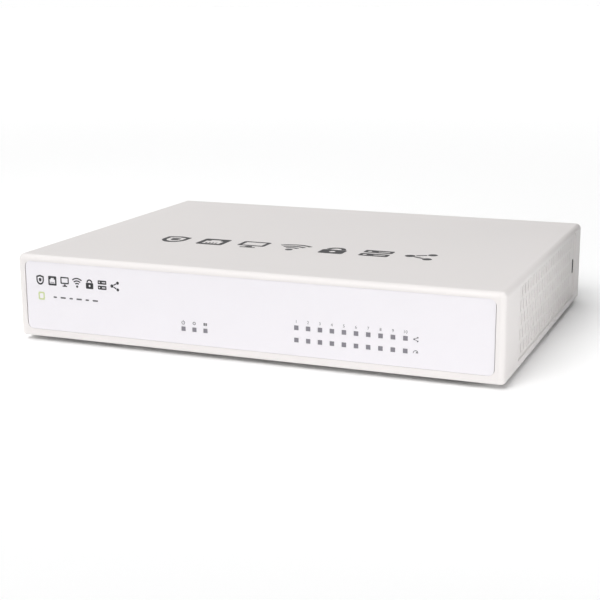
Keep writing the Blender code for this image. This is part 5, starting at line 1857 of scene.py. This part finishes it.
def shield(scale):
    """A pointed shield outline, its right half mirrored to the left."""
    turns = [math.radians(9 * i) for i in range(11)]
    half = [(6.0, 5.2)] + [(6.0 * math.cos(a), -7.0 * math.sin(a)) for a in turns]
    mirrored = [(-x, y) for x, y in reversed(half[:-1])]
    return [(scale * x, scale * y) for x, y in [(0.0, 7.0)] + half + mirrored]


def strut(start, end, start_gap, end_gap, width=1.6):
    """A straight bar between two points that stops short of each."""
    run = Vector(end) - Vector(start)
    way = run.normalized()
    side = Vector((-way.y, way.x)) * width / 2
    near = Vector(start) + way * start_gap
    far = Vector(end) - way * end_gap
    return [tuple(near - side), tuple(far - side), tuple(far + side), tuple(near + side)]


def network_jack():
    right = [(4.2, -4.0), (4.2, 1.8), (2.4, 1.8), (2.4, 3.8)]
    mouth = right + [(-x, y) for x, y in reversed(right)]
    return [slab(0, 0, 13.0, 13.0, 1.2), mouth] + [slab(-2.4 + 1.6 * i, -2.6, 0.8, 2.0) for i in range(4)]


def monitor():
    stand = [(-1.3, -3.6), (1.3, -3.6), (1.7, -5.4), (-1.7, -5.4)]
    return [slab(0, 1.8, 13.2, 9.8, 1.0), slab(0, 1.8, 9.6, 6.2, 0.4), stand, slab(0, -6.2, 7.4, 1.4, 0.4)]


def radio():
    return [disc(0, -5.0, 1.7)] + [band(0, -5.0, r, r + 1.8, 50, 130) for r in (3.4, 6.8, 10.2)]


def padlock():
    return [slab(0, -2.6, 11.4, 8.4, 1.2), disc(0, -2.6, 1.4), band(0, 2.0, 2.5, 4.5, 0, 180)]


def rack():
    loops = []
    for y in (3.6, -3.6):
        loops += [slab(0, y, 13.2, 5.4, 0.9), disc(-4.2, y, 0.95), slab(2.4, y, 5.4, 1.2, 0.4)]
    return loops


def branches():
    root, upper, lower = (-4.4, 0.0), (4.4, 4.6), (4.4, -4.6)
    dots = [disc(*root, 2.3), disc(*upper, 2.1), disc(*lower, 2.1)]
    return dots + [strut(root, tip, 2.7, 2.5) for tip in (upper, lower)]


def symbol_strip():
    crest = [shield(1.0), shield(0.66), shield(0.36)]
    loops = []
    for i, symbol in enumerate((crest, network_jack(), monitor(), radio(), padlock(), rack(), branches())):
        loops += moved(symbol, (i - 3) * SYMBOL_PITCH, 0.0)
    return loops


facing_viewer = Matrix.Rotation(math.pi / 2, 4, "X")
facing_back = Matrix.Rotation(math.pi, 4, "Z") @ facing_viewer
top_plane = Matrix.Translation((0.0, 0.0, cover_high.z + INK_FILM))
front_plane = Matrix.Translation((0.0, panel_low.y - INK_FILM, 0.0)) @ facing_viewer
rear_plane = Matrix.Translation((0.0, tray_high.y + INK_FILM, 0.0)) @ facing_back

top_art = moved(symbol_strip(), *TOP_STRIP)
seat(inked("top_symbols", top_art, top_plane, dark_ink), "white_moulding")
front_art = moved(symbol_strip(), *FRONT_STRIP, FRONT_SCALE)
seat(inked("front_symbols", front_art, front_plane, dark_ink), "white_gloss_panel")

green_ink = grained("green_ink", INK_GREEN, bump=0.000002, speckle=0.08, roughness=0.45)
badge_art = [slab(*BADGE_PLACE, 3.2, 3.6, 0.7), slab(*BADGE_PLACE, 1.8, 2.2, 0.4)]
seat(inked("front_badge", badge_art, front_plane, green_ink), "white_gloss_panel")
dash_x, dash_z = DASH_PLACE
dashes = [slab(dash_x + DASH_PITCH * i, dash_z, 2.7 if i % 2 else 1.7, 0.7, 0.3) for i in range(6)]


def power_symbol():
    return [band(0, -0.5, 3.6, 5.4, -235, 55), slab(0, 3.2, 1.8, 6.0, 0.5)]


def gauge_symbol():
    return [band(0, -3.0, 5.8, 7.4, 0, 180), strut((0, -3.0), (3.6, 1.6), 0.0, 0.0, 1.5)]


def twin_symbol():
    return [slab(-2.9, 0, 4.6, 8.0, 0.8), slab(2.9, 0, 4.6, 8.0, 0.8)]


window_mm = [(x * 1000, z * 1000) for x, z in window_places]
small_art = list(dashes)
for symbol, (x, z) in zip((power_symbol(), [disc(0, 0, 4.6), disc(0, 0, 2.6)], twin_symbol()), window_mm):
    small_art += moved(symbol, x, z + 2.75, STATUS_SCALE)
row_ends = (window_mm[-1], window_mm[12])
for symbol, (x, z) in zip((branches(), gauge_symbol()), row_ends):
    small_art += moved(symbol, x + 4.3, z, ROW_MARK_SCALE)
figures = [(str(i + 1), x, z + 2.55, FIGURE_HEIGHT) for i, (x, z) in enumerate(window_mm[13:])]
seat(inked("front_small_marks", small_art, front_plane, grey_ink, figures), "white_gloss_panel")


def earth_symbol():
    bars = [slab(0, 0.6 - 2.0 * i, 9.0 - 3.0 * i, 1.1, 0.2) for i in range(3)]
    return bars + [slab(0, 4.0, 1.1, 5.2, 0.2)]


def polarity_symbol():
    """A socket's centre and sleeve, each with a short line out to a ring."""
    rings = [disc(x, 0, r) for x in (-7.6, 7.6) for r in (1.9, 1.3)]
    lines = [strut((-5.4, 0.0), (-4.2, 0.0), 0.0, 0.0, 0.9), strut((1.5, 0.0), (5.5, 0.0), 0.0, 0.0, 0.9)]
    return [disc(0, 0, 1.3), band(0, 0, 3.0, 4.0, 20, 340)] + rings + lines


def return_symbol():
    """A turning arrow: three quarters of a ring and a broad head."""
    return [band(0, -0.4, 3.5, 4.7, 75, 335), [(2.1, 5.9), (0.7, 0.9), (5.3, 2.2)]]


def plug_symbol():
    return [slab(0, 0, 9.0, 5.0, 0.5), slab(0, -0.7, 7.0, 1.8, 0.2)]


def middle_mm(node):
    return (middle_of(node) * 1000).xz


rear_art = []
for node, symbol, z, scale in (
    ("usb_shell", plug_symbol(), REAR_MARKS_Z, 0.55),
    ("console_block", monitor(), REAR_MARKS_Z, 0.32),
    ("reset_button", return_symbol(), REAR_MARKS_Z, 0.48),
    ("power_pin", polarity_symbol(), POWER_MARK_Z, 0.42),
):
    rear_art += moved(symbol, -middle_mm(node)[0], z, scale)
earth_x, earth_z = middle_mm("earth_screw")
rear_art += moved(earth_symbol(), -earth_x + 6.4, earth_z, 0.42)
port_mm = sorted(-x * 1000 for x in port_places if x < shell_low.x)
rear_figures = [(str(i + 1), x, REAR_MARKS_Z, REAR_FIGURE_HEIGHT) for i, x in enumerate(port_mm)]
seat(inked("rear_marks", rear_art, rear_plane, grey_ink, rear_figures), "tray_steel")

# ---------------------------------------------------------------- case screws
# Four thread-forming screws come up through the tray into the cover's posts. One more screw, with a
# toothed washer, can hold an earth wire to the rear panel.

CASE_THREAD = 0.0009
TOOTH_CUT = 0.84
WASHER_TEETH = 12
WASHER = (0.0016, 0.0034, 0.0003)

cover_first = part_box("cover_screw_1")[0]
cover_x, cover_y = middle_of("cover_screw_1").xy
cover_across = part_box("cover_screw_2")[0]
cover_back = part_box("cover_screw_3")[0]
cover_screw = screw(
    "cover_screw", radius=0.0013, length=0.0090, head_radius=0.0025, head=0.0013, pitch=CASE_THREAD
)
cover_screw.data.transform(Matrix.Rotation(math.pi, 4, "X"))
case_screws = in_rows(
    "cover_screws",
    cover_screw,
    zinc,
    (cover_x, cover_y, tray_low.z),
    (2, 2),
    (cover_across.x - cover_first.x, 0.0, 0.0),
    (0.0, cover_back.y - cover_first.y, 0.0),
)
seat(case_screws, "screw_steel", *[f"cover_screw_{i}" for i in (1, 2, 3, 4)])


def toothed_washer():
    """A flat ring with square teeth cut into its rim."""
    inner, outer, thickness = WASHER
    bm = ring_plate(inner, outer, thickness, WASHER_TEETH * 4)
    for vert in bm.verts:
        out = math.hypot(vert.co.x, vert.co.y)
        step = round(math.atan2(vert.co.y, vert.co.x) / (2 * math.pi) * WASHER_TEETH * 4) % 4
        if out > outer - 1e-6 and step < 2:
            vert.co.x *= TOOTH_CUT
            vert.co.y *= TOOTH_CUT
    return bm


earth_middle = middle_of("earth_screw")
at_earth = Matrix.Translation((earth_middle.x, tray_high.y, earth_middle.z))
washer = toothed_washer()
washer.transform(at_earth @ lay_back)
seat(clad(shade(put("earth_washer", washer), 20), zinc), "screw_steel")
earth_screw = screw(
    "earth_screw_steel", radius=0.0013, length=0.0060, head_radius=0.0030, head=0.0014, pitch=BOARD_THREAD
)
earth_screw.data.transform(at_earth @ lay_back @ Matrix.Translation((0.0, 0.0, WASHER[2])))
seat(clad(earth_screw, zinc), "screw_steel", "earth_screw")

# ---------------------------------------------------------------- studio
# A plain pale floor that glows faintly far off, in a bright room that is darker to the right. A soft
# key lights the front, a soft overhead light and a lamp at the upper left light the top, and a small
# lamp at the right fades along the side.

FLOOR_SIZE = 60.0
FLOOR_WHITE = (0.97, 0.97, 0.97, 1.0)
GLOW_REACH = (0.25, 1.5)
FLOOR_GLOW_NEAR = 0.03
FLOOR_GLOW_FAR = 0.16
ROOM_TURN = (-0.1, 0.7)
ROOM_BRIGHT = 0.50
ROOM_DARK = 0.04
KEY_PLACE = (-0.15, -1.0, 1.0)
KEY_STRENGTH = 1.97
KEY_SPREAD = math.radians(40)
OVERHEAD_PLACE = (-0.3, 0.05, 1.0)
OVERHEAD_STRENGTH = 0.38
OVERHEAD_SPREAD = math.radians(60)
UPPER_LEFT_PLACE = (-0.30, 0.0, 0.45)
UPPER_LEFT_TARGET = (0.0, 0.0, 0.03)
UPPER_LEFT_SIZE = 0.35
UPPER_LEFT_POWER = 0.46
SIDE_PLACE = (0.50, -0.13, 0.11)
SIDE_TARGET = (0.108, -0.095, 0.024)
SIDE_CONE = math.radians(46)
SIDE_LAMP_RADIUS = 0.05
SIDE_POWER = 3.0


def lamp(name, kind, place, target, energy):
    """A light that looks from a place to a target."""
    data = bpy.data.lights.new(name, kind)
    data.energy = energy
    made = new_object(name, data)
    made.location = place
    made.rotation_mode = "QUATERNION"
    made.rotation_quaternion = (Vector(target) - Vector(place)).to_track_quat("-Z", "Y")
    made.visible_camera = False
    return made


floor_bm = bmesh.new()
bmesh.ops.create_grid(floor_bm, x_segments=1, y_segments=1, size=FLOOR_SIZE / 2)
floor = put("floor", floor_bm)
floor_paint, floor_tree, floor_shader, floor_coordinates = new_material("floor_paint")
reach = floor_tree.nodes.new("ShaderNodeVectorMath")
reach.operation = "LENGTH"
feed(floor_tree, reach, floor_coordinates)
glow_range = (*GLOW_REACH, FLOOR_GLOW_NEAR, FLOOR_GLOW_FAR)
glow = add_node(floor_tree, "ShaderNodeMapRange", reach.outputs["Value"], *glow_range).outputs[0]
floor_shader.inputs["Specular IOR Level"].default_value = 0.0
feed(floor_tree, floor_shader, base_color=FLOOR_WHITE, roughness=0.9)
feed(floor_tree, floor_shader, emission_strength=1.0, emission_color=glow)
clad(floor, floor_paint)

world = bpy.data.worlds.new("white_room")
bpy.context.scene.world = world
world.use_nodes = True
room = world.node_tree
direction = room.nodes.new("ShaderNodeTexCoord").outputs["Generated"]
across = add_node(room, "ShaderNodeSeparateXYZ", direction).outputs["X"]
fall = add_node(room, "ShaderNodeMapRange", across, *ROOM_TURN, ROOM_BRIGHT, ROOM_DARK)
fall.interpolation_type = "SMOOTHSTEP"
seen = room.nodes.new("ShaderNodeLightPath").outputs["Is Camera Ray"]
strength = calculate(room, "MAXIMUM", fall.outputs[0], seen)
feed(room, room.nodes["Background"], color=(1.0, 1.0, 1.0, 1.0), strength=strength)
key = lamp("key", "SUN", KEY_PLACE, (0.0, 0.0, 0.0), KEY_STRENGTH)
key.data.angle = KEY_SPREAD
overhead = lamp("overhead", "SUN", OVERHEAD_PLACE, (0.0, 0.0, 0.0), OVERHEAD_STRENGTH)
overhead.data.angle = OVERHEAD_SPREAD
upper_left = lamp("upper_left", "AREA", UPPER_LEFT_PLACE, UPPER_LEFT_TARGET, UPPER_LEFT_POWER)
upper_left.data.size = UPPER_LEFT_SIZE
side_lamp = lamp("side_lamp", "SPOT", SIDE_PLACE, SIDE_TARGET, SIDE_POWER)
side_lamp.data.spot_size = SIDE_CONE
side_lamp.data.spot_blend = 1.0
side_lamp.data.shadow_soft_size = SIDE_LAMP_RADIUS

# ---------------------------------------------------------------- camera
# It looks down from the front right, a little over half a metre away.

VIEW_TURN = math.radians(22.03)
VIEW_RISE = math.radians(13.36)
VIEW_ROLL = math.radians(-0.318)
VIEW_DISTANCE = 0.5908
VIEW_TARGET = Vector((-0.00758, 0.0, 0.00837))
LENS = 75.56
SENSOR = 36.0
NEAREST = 0.01

back = Vector((
    math.sin(VIEW_TURN) * math.cos(VIEW_RISE),
    -math.cos(VIEW_TURN) * math.cos(VIEW_RISE),
    math.sin(VIEW_RISE),
))
level = Vector((math.cos(VIEW_TURN), math.sin(VIEW_TURN), 0.0))
upright = back.cross(level)
right = level * math.cos(VIEW_ROLL) + upright * math.sin(VIEW_ROLL)
up = upright * math.cos(VIEW_ROLL) - level * math.sin(VIEW_ROLL)
camera_data = bpy.data.cameras.new("camera")
camera_data.lens = LENS
camera_data.sensor_width = SENSOR
camera_data.clip_start = NEAREST
camera = new_object("camera", camera_data)
facing = Matrix((right, up, back)).transposed().to_4x4()
camera.matrix_world = Matrix.Translation(VIEW_TARGET + back * VIEW_DISTANCE) @ facing
bpy.context.scene.camera = camera
bpy.context.scene.view_settings.view_transform = "Standard"
